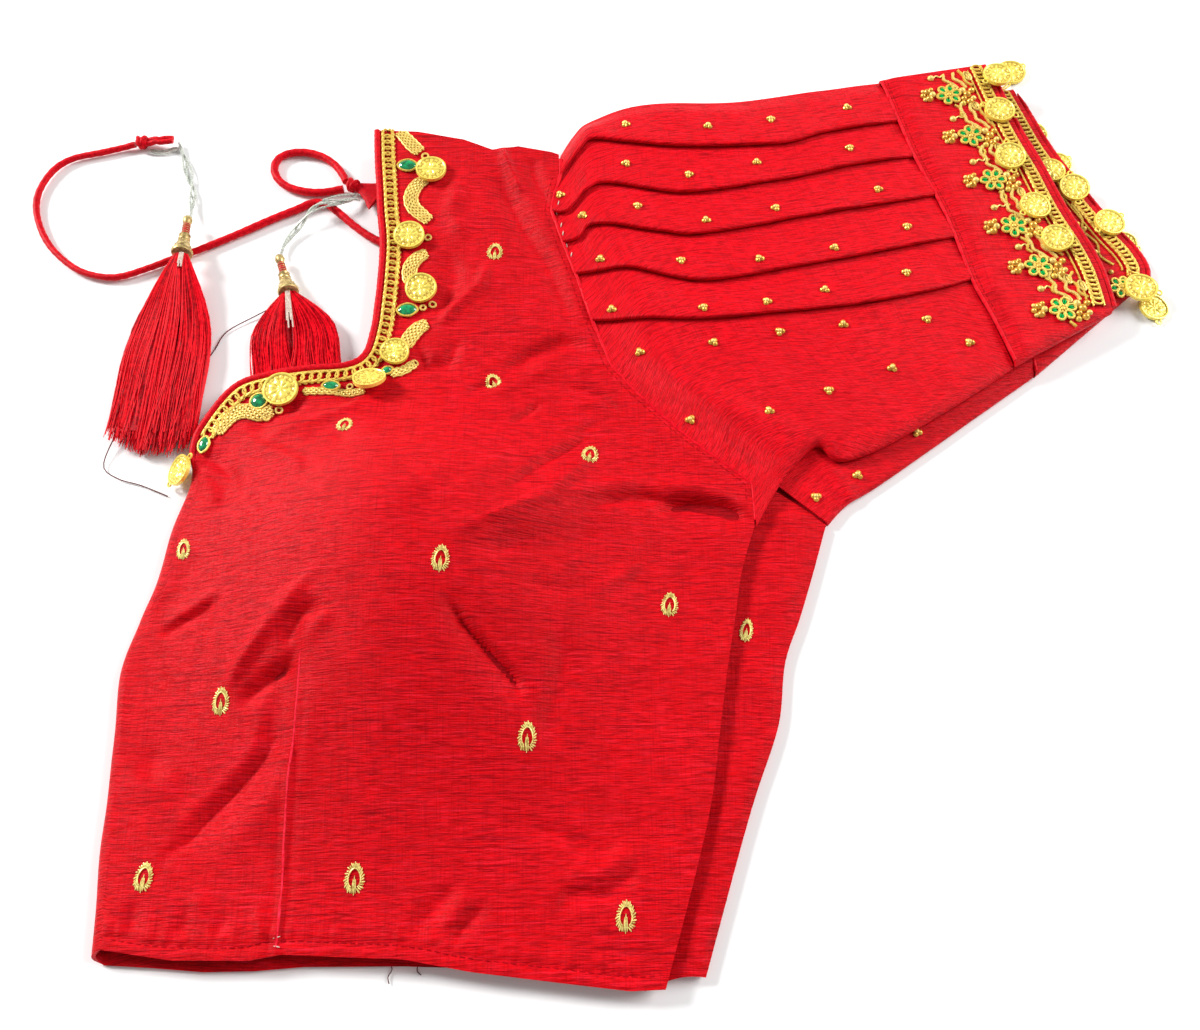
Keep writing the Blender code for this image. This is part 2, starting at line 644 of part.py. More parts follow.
# ring of the layered edge: from the bottom or the top, height, inset at the hem, side, shoulder, neck
LAYER_RINGS = (
    ("bottom", 0.0, 2.8, 9.2, 2.6, 1.0),
    ("bottom", 0.6, 2.0, 8.6, 1.8, 0.2),
    ("bottom", 1.2, 3.4, 9.2, 3.0, 1.4),
    ("bottom", 1.5, 3.4, 9.2, 3.0, 1.4),
    ("bottom", 1.52, 2.2, 1.6, 1.8, 0.6),
    ("top", -0.3, 1.6, 0.9, 1.2, 0.0),
    ("top", 0.0, 2.8, 2.2, 2.4, 1.0),
)


def layer_point(place_on, ring):
    x, y, normal, side, t = place_on
    base, height, hem, flank, shoulder, neck = ring
    inset = {"hem": hem, "side": flank, "shoulder": shoulder, "neck": neck, "fold": 0.0}[side]
    top = min(front_height(x + normal[0] * d, y + normal[1] * d) for d in (2, 5, 8)) - CLOTH - LAYER_GAP
    if side == "neck":
        top -= NECK_SINK
    z = BACK_LOW + height if base == "bottom" else max(top, BACK_LOW + 2.1) + height
    if side == "fold":
        radius = fold_radius(t)
        room = max(radius - CLOTH - SEAM_GAP, 0.2)
        z = min(z, radius + room)
        rise = min(abs(z - radius), room)
        inset = radius - math.sqrt(room * room - rise * rise) + (0.5 if height in (1.2, 1.5) else 0.0)
    px, py = shifted((x, y), normal, inset)
    if side == "hem" and t < 1:
        px = min(max(px, row_point(t, 1)[0] + 3.6), row_point(t, 5)[0] - ring[3])
    if side == "shoulder":
        px = min(max(px, row_point(t, 3)[0] + ring[5]), row_point(t, 5)[0] - ring[3])
    if side == "side" and t > len(BODY_ROWS) - 1.01:
        py -= ring[4]
    if side == "neck" and t > len(BODY_ROWS) - 1.01:
        py -= ring[4]
    return (px, py, z)


def hidden_layers(finish):
    """The layers between the two fronts, as one rounded body whose edge shows its plies."""
    outline = hidden_outline()
    count = len(outline)
    points = []
    for ring in LAYER_RINGS:
        points += [layer_point(spot, ring) for spot in outline]
    faces = []
    for r in range(len(LAYER_RINGS) - 1):
        for k in range(count):
            n = (k + 1) % count
            faces.append((r * count + k, r * count + n, (r + 1) * count + n, (r + 1) * count + k))
    faces.append(tuple(reversed(range(count))))
    top = (len(LAYER_RINGS) - 1) * count
    steps = [t for t in row_steps() if t > 0]
    rows = len(steps)
    columns = INNER_COLUMNS
    right = [top + columns + 1 + i for i in range(rows)]
    left = [top + count - 1 - i for i in range(rows)]
    shoulder = [top + columns + 1 + rows + k for k in range(columns // 2 - 1)]
    grid = [[top + k for k in range(columns + 1)]]
    for i, t in enumerate(steps):
        if i == rows - 1:
            grid.append([left[i], *reversed(shoulder), right[i]])
            continue
        a = points[left[i]]
        b = points[right[i]]
        row = [left[i]]
        for c in range(1, columns):
            u = c / columns
            x, y = mix(a[:2], b[:2], u)
            dx, dy = edge_blend(u, t, HEM_EDGE)
            row.append(len(points))
            points.append((x + dx, y + dy, smooth_height(x + dx, y + dy) - CLOTH - INNER_SINK))
        row.append(right[i])
        grid.append(row)
    for low, high in zip(grid[:-2], grid[1:-1]):
        for c in range(columns):
            faces.append((low[c], low[c + 1], high[c + 1], high[c]))
    low = grid[-2]
    high = grid[-1]
    for c in range(len(high) - 1):
        faces.append((low[2 * c], low[2 * c + 1], high[c + 1], high[c]))
        faces.append((low[2 * c + 1], low[2 * c + 2], high[c + 1]))
    return add_object("hidden_layers", mesh_from("hidden_layers", points, faces), finish)


def back(finish):
    """Left back: the strip beyond the side seam, running a little way under the right half."""
    outer = []
    inner = []
    for t in row_steps(HEM_SEAM_ROW):
        low = shifted(row_point(t, 5), inward(t, 5), BACK_UNDER)
        high = shifted(row_point(t, 7), inward(t, 7), BACK_INSET)
        out_row = []
        in_row = []
        for u in (0.0, 0.5, 1.0):
            x, y = mix(low, high, u)
            out_row.append((x, y, BACK_HIGH))
            in_row.append((x, y, BACK_LOW))
        outer.append(out_row)
        inner.append(in_row)
    return wall("back", outer, inner, finish)


def hems(finish):
    """Turned hems of the right front, the left front below it and the left back."""
    half = (HEM - SEAM_GAP) / 2
    down = SEAM_GAP + half
    t = HEM_SEAM_ROW
    top_path = []
    for u in front_columns():
        x, y = panel_point(u, t, front_left(t), row_point(t, 5))
        top_path.append((x, y - down, front_height(x, y) - CLOTH / 2))
    low_left = under_left(t, fold_radius(0))
    low_right = shifted(row_point(t, 7), inward(0, 7), UNDER_INSET)
    low_path = []
    for u in (0.0, *reversed(LOW_COLUMNS)):
        x, y = panel_point(u, t, low_left, low_right, UNDER_HEM_EDGE)
        low_path.append((x, y - down, CLOTH / 2))
    back_path = []
    back_left = shifted(row_point(t, 5), inward(t, 5), BACK_HEM_UNDER)
    back_right = shifted(row_point(t, 7), inward(t, 7), BACK_INSET)
    for k in range(BACK_HEM_STEPS + 1):
        x, y = mix(back_left, back_right, k / BACK_HEM_STEPS)
        back_path.append((x, y - down - SEAM_GAP, (BACK_LOW + BACK_HIGH) / 2))
    sweep("hem_front", top_path, [oval(2 * half, CLOTH)] * len(top_path), finish)
    sweep("hem_under", low_path, [oval(2 * half, CLOTH)] * len(low_path), finish)
    sweep("hem_back", back_path, [oval(2 * half, BACK_HIGH - BACK_LOW)] * len(back_path), finish)


# ---- sleeves -------------------------------------------------------------------------------------

def ridge_side(x, y):
    """Distance from the sleeve's soft ridge, positive towards the underarm."""
    dx = RIDGE_TIP[0] - RIDGE_FOOT[0]
    dy = RIDGE_TIP[1] - RIDGE_FOOT[1]
    return ((y - RIDGE_FOOT[1]) * -dx + (x - RIDGE_FOOT[0]) * dy) / math.hypot(dx, dy)


def sleeve_level(share, x, y, depth):
    """Middle of the right sleeve's upper ply, before its pleats; depth is the distance to its edge."""
    crown = SLEEVE_ARMHOLE + (SLEEVE_CROWN - SLEEVE_ARMHOLE) * smooth(share / 0.16)
    crown -= 0.8 * smooth((share - 0.5) / 0.5)
    facet = smooth(ridge_side(x, y) / 26) if x < 275 else 0.0
    sink = (crown - SLEEVE_ARMHOLE + 0.2) * facet
    return crown - sink - (crown - sink - SLEEVE_ARMHOLE) * 0.5 * (1 - smooth(depth / 8))


def turn(w, z, radius, way, points=3):
    """Half turn of a pleat about w, z; way is +1 at a pleat's edge and -1 at its inner fold."""
    return [(w + way * radius * math.cos(a), z + radius * math.sin(a))
            for a in (math.pi / 2 - math.pi * k / points for k in range(points + 1))]


def across_ring(lines, share):
    spots = [along(line[1:], share) for line in lines]
    reach = [0.0]
    for p, q in zip(spots, spots[1:]):
        reach.append(reach[-1] + math.dist(p, q))
    return spots, reach


def on_ring(spots, reach, w):
    i = 0
    while i < len(reach) - 2 and w > reach[i + 1]:
        i += 1
    return mix(spots[i], spots[i + 1], (w - reach[i]) / (reach[i + 1] - reach[i]))


def offset_ring(ring, distance):
    """Points of a closed ring in the w, z plane, moved along its outward normal."""
    moved = []
    count = len(ring)
    for k in range(count):
        a = ring[k - 1]
        b = ring[k]
        c = ring[(k + 1) % count]
        n0 = left_normal(a, b)
        n1 = left_normal(b, c)
        nx = n0[0] + n1[0]
        ny = n0[1] + n1[1]
        size = math.hypot(nx, ny)
        nx /= size
        ny /= size
        stretch = min(1 / max(nx * n0[0] + ny * n0[1], 0.6), 1.5)
        moved.append((b[0] + nx * distance * stretch, b[1] + ny * distance * stretch))
    return moved


def sleeve_ring(lines, share, floor, level):
    """Middle line of one section of a sleeve, pleats and both folds included."""
    spots, reach = across_ring(lines, share)
    width = reach[-1]

    def height(w):
        x, y = on_ring(spots, reach, w)
        return level(share, x, y, min(w, width - w))

    radius = (height(0.0) - floor) / 2
    low_radius = (height(width) - floor) / 2
    ring = [(radius * (1 - math.sin(a)), floor + radius * (1 - math.cos(a)))
            for a in (math.pi * k / 3 for k in range(1, 3))]
    ring.append((radius, height(radius)))
    half = PLY / 2
    for line, start, stop in zip(lines[1:-1], reach[1:-1], reach[2:]):
        base = height(start)
        if line[0] != "pleat":
            ring.append((start, base))
            continue
        lip = start - half - SLEEVE_CLOTH / 2
        ring.append((lip - UNDERLAP - PLY - 0.4, base + 2 * PLY + 0.1))
        ring += turn(lip, base + 1.5 * PLY, half, 1)
        ring += turn(lip - UNDERLAP, base + half, half, -1)
        ring.append((start + 0.8, base))
    ring.append((width - low_radius - 1.0, height(width - low_radius)))
    ring += [(width - low_radius * (1 - math.sin(a)), floor + low_radius * (1 + math.cos(a)))
             for a in (math.pi * k / 3 for k in range(1, 3))]
    ring += [(w, floor) for w in (width - low_radius, *reversed(reach[1:-1]), radius)]
    return ring, spots, reach


def sleeve(name, lines, stations, floor, level, finish):
    outer = []
    inner = []
    for share in stations:
        ring, spots, reach = sleeve_ring(lines, share, floor, level)
        for grid, distance in ((outer, SLEEVE_CLOTH / 2), (inner, -SLEEVE_CLOTH / 2)):
            row = []
            for w, z in offset_ring(ring, distance):
                x, y = on_ring(spots, reach, w)
                row.append((x + 2 * SEAM_GAP * (1 - share), y + 1.5 * SEAM_GAP * (1 - share), z))
            grid.append(row)
    return wall(name, outer, inner, finish, wrap=True)


def left_level(share, x, y, depth):
    return LEFT_CROWN - 1.0 * (1 - smooth(depth / 8)) * smooth(share * 5)


def band(name, lines, top, fall, floor, floor_rise, finish):
    """A sleeve band: a flattened ring of doubled cloth from its seam to the mouth."""
    outer = []
    inner = []
    for share in (0.0, 0.33, 0.67, 1.0):
        spots = [mix(line[1:3], line[3:5], share) for line in lines]
        reach = [0.0]
        for p, q in zip(spots, spots[1:]):
            reach.append(reach[-1] + math.dist(p, q))
        width = reach[-1]
        under = floor + floor_rise * share + BAND_CLOTH / 2
        over = top - fall * share - BAND_CLOTH / 2
        radius = (over - under) / 2
        ring = [(radius * (1 - math.sin(a)), under + radius * (1 - math.cos(a)))
                for a in (math.pi * k / 3 for k in range(0, 4))]
        ring += [(w, over) for w in reach[1:-1]]
        ring += [(width - radius * (1 - math.sin(a)), under + radius * (1 + math.cos(a)))
                 for a in (math.pi * k / 3 for k in range(0, 4))]
        ring += [(w, under) for w in reversed(reach[1:-1])]
        for grid, distance in ((outer, BAND_CLOTH / 2), (inner, -BAND_CLOTH / 2)):
            grid.append([(*on_ring(spots, reach, w), z) for w, z in offset_ring(ring, distance)])
    return wall(name, outer, inner, finish, wrap=True)


def band_height(x, y):
    """Outer surface of the right band: a plane that falls from the seam to the mouth."""
    seam_x, seam_y = BAND_LINES[0][1:3]
    low_x, low_y = BAND_LINES[-1][1:3]
    nx, ny = left_normal((seam_x, seam_y), (low_x, low_y))
    return BAND_TOP - BAND_FALL * ((x - seam_x) * nx + (y - seam_y) * ny) / BAND_LENGTH


def left_band_height(x, y):
    return LEFT_BAND_TOP


# ---- trims ---------------------------------------------------------------------------------------

def piping(name, path, width, finish):
    sweep(name, path, [oval(width, width * 0.8)] * len(path), finish)


def neck_path(inset, pitch, first=7.75, last=21.85):
    """Points along the neck edge, moved in from it."""
    fine = []
    count = 60
    for k in range(count + 1):
        t = first + (last - first) * k / count
        fine.append(shifted(row_point(t, 1), inward(t, 1), inset))
    return evenly(fine, pitch)


def neck_piping(finish):
    """Piping that follows the panel's own edge points."""
    path = []
    for t in [UNDERARM + 0.4] + [t for t in row_steps() if t > UNDERARM + 0.5]:
        x, y = shifted(row_point(t, 1), inward(t, 1), PIPING / 2)
        path.append((x, y, front_height(x, y) - PIPING * 0.25))
    piping("neck_piping", path, PIPING, finish)


def top_of(item):
    """Height of a piece's own faceted surface, in the lay frame's millimetres."""
    graph = bpy.context.evaluated_depsgraph_get()
    tree = BVHTree.FromObject(item, graph)

    def height(x, y):
        hit = tree.ray_cast(place(x, y, 200), Vector((0, 0, -1)))[0]
        return hit.z / MM if hit else front_height(x, y)

    return height


def draped_strip(name, path, sections, height, finish):
    """A flat strip laid on a surface, every point lifted from the surface below it."""
    points = []
    sides = len(sections[0])
    for k, (x, y) in enumerate(path):
        nx, ny = left_normal(path[max(k - 1, 0)], path[min(k + 1, len(path) - 1)])
        for across, up in sections[k]:
            px, py = (x + nx * across, y + ny * across)
            points.append((px, py, height(px, py) + SEAM_GAP + up))
    add_object(name, mesh_from(name, points, strip_faces(len(path), sides)), finish)


def braid(name, path, width, height, finish):
    """A flat braid with two raised cord edges, scalloped along its length."""
    sections = []
    for k in range(len(path)):
        half = width / 2 - (0.35 if k % 2 else 0.0)
        high = BRAID_HIGH - (0.25 if k % 2 else 0.0)
        ridge = half * 0.75
        sections.append([(-half, 0.0), (half, 0.0), (ridge, high), (0.0, high * 0.55), (-ridge, high)])
    draped_strip(name, path, sections, height, finish)


def coin(name, frame, diameter, finish):
    """A coin with a raised rim round a sunk field and a low boss."""
    r = diameter / 2
    profile = ((0, 0), (r, 0), (r, COIN_EDGE), (r * 0.84, COIN_EDGE), (r * 0.78, COIN_EDGE * 0.72),
               (0, COIN_EDGE * 0.95))
    turned(name, profile, finish, frame, 10)


def stone(name, x, y, length, width, turn_angle, height, finish):
    centre, u, v, w = surface_frame(x, y, STONE_LIFT, height)
    angle = math.radians(turn_angle)
    long = tuple((u[i] * math.cos(angle) + v[i] * math.sin(angle)) * length / width for i in range(3))
    short = tuple(-u[i] * math.sin(angle) + v[i] * math.cos(angle) for i in range(3))
    r = width / 2
    turned(name, ((0, 0), (r, 0), (r, 0.6), (r * 0.6, 1.3), (0, 1.5)), finish, (centre, long, short, w), 8)


def flower(name, x, y, height, finish):
    """Six raised petals round a centre, in one body."""
    petals = 6
    per = 3
    sides = petals * per
    base = height(x, y) + SEAM_GAP
    rings = []
    for reach, high, deep in ((1.0, 0.0, 0.0), (1.0, 0.7, 0.0), (0.6, 1.3, 0.25)):
        ring = []
        for k in range(sides):
            angle = 2 * math.pi * k / sides + 0.3
            petal = 1.0 if k % per == 0 else 0.82
            r = FLOWER / 2 * reach * (petal if reach > 0.5 else 1.0)
            up = high - (deep * 2 if k % per else 0.0)
            ring.append((x + r * math.cos(angle), y + r * math.sin(angle), base + up))
        rings.append(ring)
    points = [p for ring in rings for p in ring] + [(x, y, base), (x, y, base + 1.0)]
    bottom = len(points) - 2
    top = len(points) - 1
    faces = []
    for k in range(sides):
        n = (k + 1) % sides
        faces.append((bottom, n, k))
        for r in range(len(rings) - 1):
            a = r * sides
            b = a + sides
            faces.append((a + k, a + n, b + n, b + k))
        a = (len(rings) - 1) * sides
        faces.append((a + k, a + n, top))
    add_object(name, mesh_from(name, points, faces), finish)


# ---- cords, caps and tassels -----------------------------------------------------------------------

def cord(name, route, diameter, pitch, finish):
    curve = bpy.data.curves.new(name, "CURVE")
    curve.dimensions = "3D"
    curve.bevel_depth = diameter / 2 * MM
    curve.bevel_resolution = 2
    curve.use_fill_caps = True
    spots = evenly(route, pitch)
    spline = curve.splines.new("POLY")
    spline.points.add(len(spots) - 1)
    for point, spot in zip(spline.points, spots):
        point.co = (*place(*spot), 1.0)
    curve.materials.append(finish)
    item = bpy.data.objects.new(name, curve)
    bpy.context.scene.collection.objects.link(item)
    return item


def axis_frame(start, stop):
    """Frame at start whose last axis points at stop and whose second is as upright as can be."""
    w = (Vector(stop) - Vector(start)).normalized()
    u = w.cross(Vector((0, 0, 1))).normalized()
    v = w.cross(u)
    return (tuple(start), tuple(u), tuple(v), tuple(w))


def knot(name, middle, ahead, shape, finish):
    """A small hard knot that faces the point ahead of it."""
    turned(name, shape, finish, axis_frame(middle, ahead), 10)


def tie_root(finish):
    """Flattened cloth that fans out from the second tie's knot to the strap."""
    path = [(x, y, TIE_ROOT_HEIGHT) for x, y, _ in TIE_ROOT]
    sweep("tie_root_2", path, [oval(width, TIE_ROOT_HEIGHT) for _, _, width in TIE_ROOT], finish)


def cap(name, start, stop, finish):
    """Bead, neck and flared cone that hold the head of a tassel."""
    profile = ((0, 0), (1.2, 0.2), (2.2, 2.6), (1.4, 5.4), (1.9, 7.2), (1.6, 11.6), (2.4, 13.2), (2.7, 15.4),
               (4.2, 21.0), (4.6, 22.6), (4.0, 23.4), (0, 23.0))
    turned(name, profile, finish, axis_frame(start, stop), 12)


def tassel(name, head, foot, length, head_size, foot_size, across, high, spread_by, finish):
    """Strands that leave one head in a fan, so many across and so many on each other."""
    way = Vector((foot[0] - head[0], foot[1] - head[1], 0)).normalized()
    side = Vector((-way.y, way.x, 0))
    head_at = Vector(head)

    def spot(share, a, b):
        """Point of the fan: a and b run from -1 to 1 across it and up it."""
        spread = math.sin(min(max(share - TASSEL_HEAD, 0.0) / spread_by, 1.0) * math.pi / 2)
        wide = head_size[0] + (foot_size[0] - head_size[0]) * spread
        tall = head_size[1] + (foot_size[1] - head_size[1]) * min(share * 1.6, 1.0)
        centre_z = head_at.z + (foot[2] - head_at.z) * smooth(share * 2.2)
        end = length * share * (1 - 0.05 * a * a * share)
        p = head_at + way * end + side * (a * wide / 2)
        return (p.x, p.y, centre_z + b * tall / 2)

    mesh = bmesh.new()

    def vert(share, a, b):
        return mesh.verts.new(place(*spot(share, a, b)))

    lines_a = [2 * k / across - 1 for k in range(across + 1)]
    lines_b = [2 * k / high - 1 for k in range(high + 1)]
    start = [[vert(0.0, a, b) for b in lines_b] for a in lines_a]
    root = [[vert(TASSEL_HEAD, a, b) for b in lines_b] for a in lines_a]
    for i in range(across):
        for j in range(high):
            mesh.faces.new((start[i][j], start[i][j + 1], start[i + 1][j + 1], start[i + 1][j]))
    rim = [(i, 0) for i in range(across)] + [(across, j) for j in range(high)]
    rim += [(i, high) for i in range(across, 0, -1)] + [(0, j) for j in range(high, 0, -1)]
    for (i, j), (m, n) in zip(rim, rim[1:] + rim[:1]):
        mesh.faces.new((start[i][j], start[m][n], root[m][n], root[i][j]))
    for i in range(across):
        for j in range(high):
            cell = ((i, j), (i + 1, j), (i + 1, j + 1), (i, j + 1))
            before = [root[m][n] for m, n in cell]
            mid_a = (lines_a[i] + lines_a[i + 1]) / 2
            mid_b = (lines_b[j] + lines_b[j + 1]) / 2
            # each strand: share of the length, share of its cell
            steps = ((TASSEL_HEAD + 0.002, 0.7), (spread_by / 2, 0.7), (spread_by, 0.66), (1.0, 0.6))
            for share, keep in steps:
                ring = []
                for m, n in cell:
                    a = mid_a + (lines_a[m] - mid_a) * keep
                    b = mid_b + (lines_b[n] - mid_b) * keep
                    ring.append(vert(share, a, b))
                for q in range(4):
                    mesh.faces.new((before[q], before[(q + 1) % 4], ring[(q + 1) % 4], ring[q]))
                before = ring
            mesh.faces.new(before)
    bmesh.ops.recalc_face_normals(mesh, faces=mesh.faces)
    made = bpy.data.meshes.new(name)
    mesh.to_mesh(made)
    mesh.free()
    return add_object(name, made, finish)


# ---- assembly ------------------------------------------------------------------------------------

def body(cloth, inside):
    panel = front(cloth)
    back(cloth)
    hidden_layers(inside)
    hems(cloth)
    return panel


def sleeves(cloth):
    sleeve("sleeve_right", SLEEVE_LINES, SLEEVE_STATIONS, SLEEVE_FLOOR, sleeve_level, cloth)
    sleeve("sleeve_left", LEFT_SLEEVE_LINES, LEFT_STATIONS, LEFT_FLOOR, left_level, cloth)
    band("band_right", BAND_LINES, BAND_TOP, BAND_FALL, SLEEVE_FLOOR - SLEEVE_CLOTH / 2, 2.5, cloth)
    band("band_left", LEFT_BAND_LINES, LEFT_BAND_TOP, 0.0, 0.0, 0.0, cloth)


def mouth_path(lines, inset, z, pitch, first=0.03, last=0.97):
    mouth = [line[3:5] for line in lines]
    fine = [along(mouth, first + (last - first) * k / 24) for k in range(25)]
    path = []
    for k, spot in enumerate(fine):
        normal = left_normal(fine[max(k - 1, 0)], fine[min(k + 1, 24)])
        path.append(shifted(spot, normal, -inset))
    return [(x, y, z) for x, y in evenly(path, pitch)]


def trims(panel, cloth, gold, coin_gold, green):
    on_panel = top_of(panel)
    neck_piping(cloth)
    for name, lines, inset, z in (("piping_right", BAND_LINES, -2.0, BAND_TOP - BAND_FALL - 1.2),
                                  ("piping_left", LEFT_BAND_LINES, -2.4, LEFT_BAND_TOP - 1.3)):
        piping(name, mouth_path(lines, inset, z, PIPING_PITCH), CUFF_PIPING, cloth)
    edge_inset = PIPING + 0.4 + BRAID_WIDTH / 2
    braid("neck_braid", neck_path(edge_inset, BRAID_PITCH, BRAID_START), BRAID_WIDTH, on_panel, gold)
    for name, lines, height in (("braid_right", BAND_LINES, band_height),
                                ("braid_left", LEFT_BAND_LINES, left_band_height)):
        path = [spot[:2] for spot in mouth_path(lines, CUFF_BRAID_INSET, 0.0, BRAID_PITCH)]
        braid(name, path, CUFF_BRAID, height, gold)
    scroll = evenly(SCROLL_ROUTE, 3.8)
    sections = []
    for _, _, width in scroll:
        half = width / 2
        sections.append([(-half, 0.0), (half, 0.0), (half * 0.6, 0.9), (-half * 0.6, 0.9)])
    draped_strip("neck_scroll", [spot[:2] for spot in scroll], sections, on_panel, gold)
    for k, (x, y, diameter, tilt) in enumerate(NECK_COINS):
        if tilt:
            frame = tilted_frame(x, y, LOOSE_COIN_HEIGHT, tilt)
        else:
            frame = surface_frame(x, y, COIN_LIFT, on_panel)
        coin(f"coin_neck_{k + 1}", frame, diameter, coin_gold)
    for k, (x, y, diameter) in enumerate(RIGHT_COINS):
        coin(f"coin_right_{k + 1}", surface_frame(x, y, RIGHT_COIN_LIFT, band_height), diameter, coin_gold)
    for k, (x, y, diameter) in enumerate(LEFT_COINS):
        frame = surface_frame(x, y, LEFT_COIN_LIFT, left_band_height)
        if not k:
            frame = tilted_frame(x, y, FLAT_COIN_HEIGHT, 0)
        coin(f"coin_left_{k + 1}", frame, diameter, coin_gold)
    for k, (x, y, length, width, turn_angle) in enumerate(STONES):
        stone(f"stone_{k + 1}", x, y, length, width, turn_angle, on_panel, green)
    for k, (x, y) in enumerate(FLOWERS):
        flower(f"flower_right_{k + 1}", x, y, band_height, gold)
    flower("flower_left_1", *LEFT_FLOWER, left_band_height, gold)


def cords(cloth, silver, old_gold):
    cord("dori_1", DORI_1_ROUTE, DORI, DORI * 2.6, cloth)
    cord("dori_2", DORI_2_ROUTE, DORI, DORI * 2.0, cloth)
    cord("thread_1", THREAD_1_ROUTE, THREAD, THREAD * 2.8, silver)
    cord("thread_2", THREAD_2_ROUTE, THREAD, THREAD * 2.8, silver)
    for row in KNOTS:
        knot(*row, cloth)
    tie_root(cloth)
    for name, start, stop in CAPS:
        cap(name, start, stop, old_gold)
    for row in TASSELS:
        tassel(*row, cloth)


def build():
    clear_scene()
    cloth = material("red slub cotton silk", RED, 0.75, 0.0)
    inside = material("inner layers", DEEP_RED, 0.85, 0.0)
    gold = material("gold thread", GOLD, 0.45, 0.6)
    coin_gold = material("gold coin", PALE_GOLD, 0.3, 0.9)
    green = material("green stone", GREEN, 0.25, 0.0)
    silver = material("silver thread", SILVER, 0.4, 0.5)
    panel = body(cloth, inside)
    sleeves(cloth)
    trims(panel, cloth, gold, coin_gold, green)
    cords(cloth, silver, coin_gold)


build()
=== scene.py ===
"""Looks of the choli blouse: cloth, embroidery, coins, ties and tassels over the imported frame.

Lengths are millimetres in the lay frame: X runs along the hem from the centre-front fold, Y from the
hem up to the shoulder, Z is the height above the table. place() turns them into the model's metres.
"""
import math
import random
from types import SimpleNamespace

import bmesh
import bpy
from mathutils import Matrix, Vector
from mathutils.bvhtree import BVHTree


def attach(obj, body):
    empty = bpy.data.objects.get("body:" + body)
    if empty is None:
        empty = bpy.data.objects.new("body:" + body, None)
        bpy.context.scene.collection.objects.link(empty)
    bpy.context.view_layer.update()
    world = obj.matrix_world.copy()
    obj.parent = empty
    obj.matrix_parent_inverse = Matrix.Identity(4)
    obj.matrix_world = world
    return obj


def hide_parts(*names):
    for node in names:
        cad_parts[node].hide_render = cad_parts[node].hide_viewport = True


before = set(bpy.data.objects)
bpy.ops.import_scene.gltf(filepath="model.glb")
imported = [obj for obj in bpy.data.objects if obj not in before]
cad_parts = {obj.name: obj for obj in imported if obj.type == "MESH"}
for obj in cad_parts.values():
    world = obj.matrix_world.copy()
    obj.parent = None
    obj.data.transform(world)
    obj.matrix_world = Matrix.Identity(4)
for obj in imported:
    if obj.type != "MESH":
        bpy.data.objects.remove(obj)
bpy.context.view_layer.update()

MM = 0.001
# the model's origin in the lay frame
ORIGIN_X = 210.3
ORIGIN_Y = 199.5

# camera over the table, seen from the hem's side
CAMERA_AT = (177.87, -10.0, 418.8)
CAMERA_TILT = 23.0
LENS = 33.0
# light: name, place, diameter in metres, power in watts
LAMPS = (("key", (-2350, 1500, 1650), 1.0, 140.0), ("fill", (2300, 1100, 1600), 1.8, 78.0))
LAMPS_AIM = (190, 180, 0)
SKY = (1.0, 0.99, 0.985, 1.0)
SKY_STRENGTH = 0.34
TABLE_HALF = 4.0        # metres
TABLE_TOP = -0.0002     # metres

# cloth thicknesses, and the width of the neck's piping
CLOTH = 1.4
SLEEVE_CLOTH = 0.9
BAND_CLOTH = 1.3
PIPING = 3.3
# height of the top cloth at its edges, with what it rises towards the shoulder and the neck
EDGE_HEIGHT = 7.2
SHOULDER_RISE = 2.5
SHOULDER_RISE_FROM = 190.0
SHOULDER_RISE_OVER = 140.0
NECK_RISE = 3.5
NECK_RISE_AT = (48.0, 226.0)
NECK_RISE_REACH = (34.0, 26.0)
BACK_HIGH = 3.1         # outer face of the back
# the cup: height, middle, and how far it reaches to each side
BUST_HEIGHT = 27.0
BUST_X = 98.0
BUST_Y = 157.0
BUST_LEFT = 108.0
BUST_RIGHT = 122.0
BUST_HEM = 150.0
BUST_NECK = 80.0

# sleeves: underside, level at the armhole and on the crown
SLEEVE_FLOOR = 5.2
SLEEVE_ARMHOLE = 6.8
SLEEVE_CROWN = 9.3
LEFT_FLOOR = 0.5
LEFT_CROWN = 3.6
PLY = 1.3               # one layer of a pleat
UNDERLAP = 4.0          # how far a pleat is tucked under
SLIT = 0.3              # gap between sleeve and armhole
SLEEVE_LENGTH = 215.0   # along the weave
BAND_TOP = 11.4
BAND_FALL = 0.6
BAND_LENGTH = 52.0
LEFT_BAND_TOP = 4.1

DORI = 3.9              # diameter of the ties
THREAD = 1.9            # diameter of the doubled thread
CHAIN_WIRE = 1.25       # cord of the chain braids
TRIM_LIFT = 0.15        # gap between the cloth and the trims laid on it

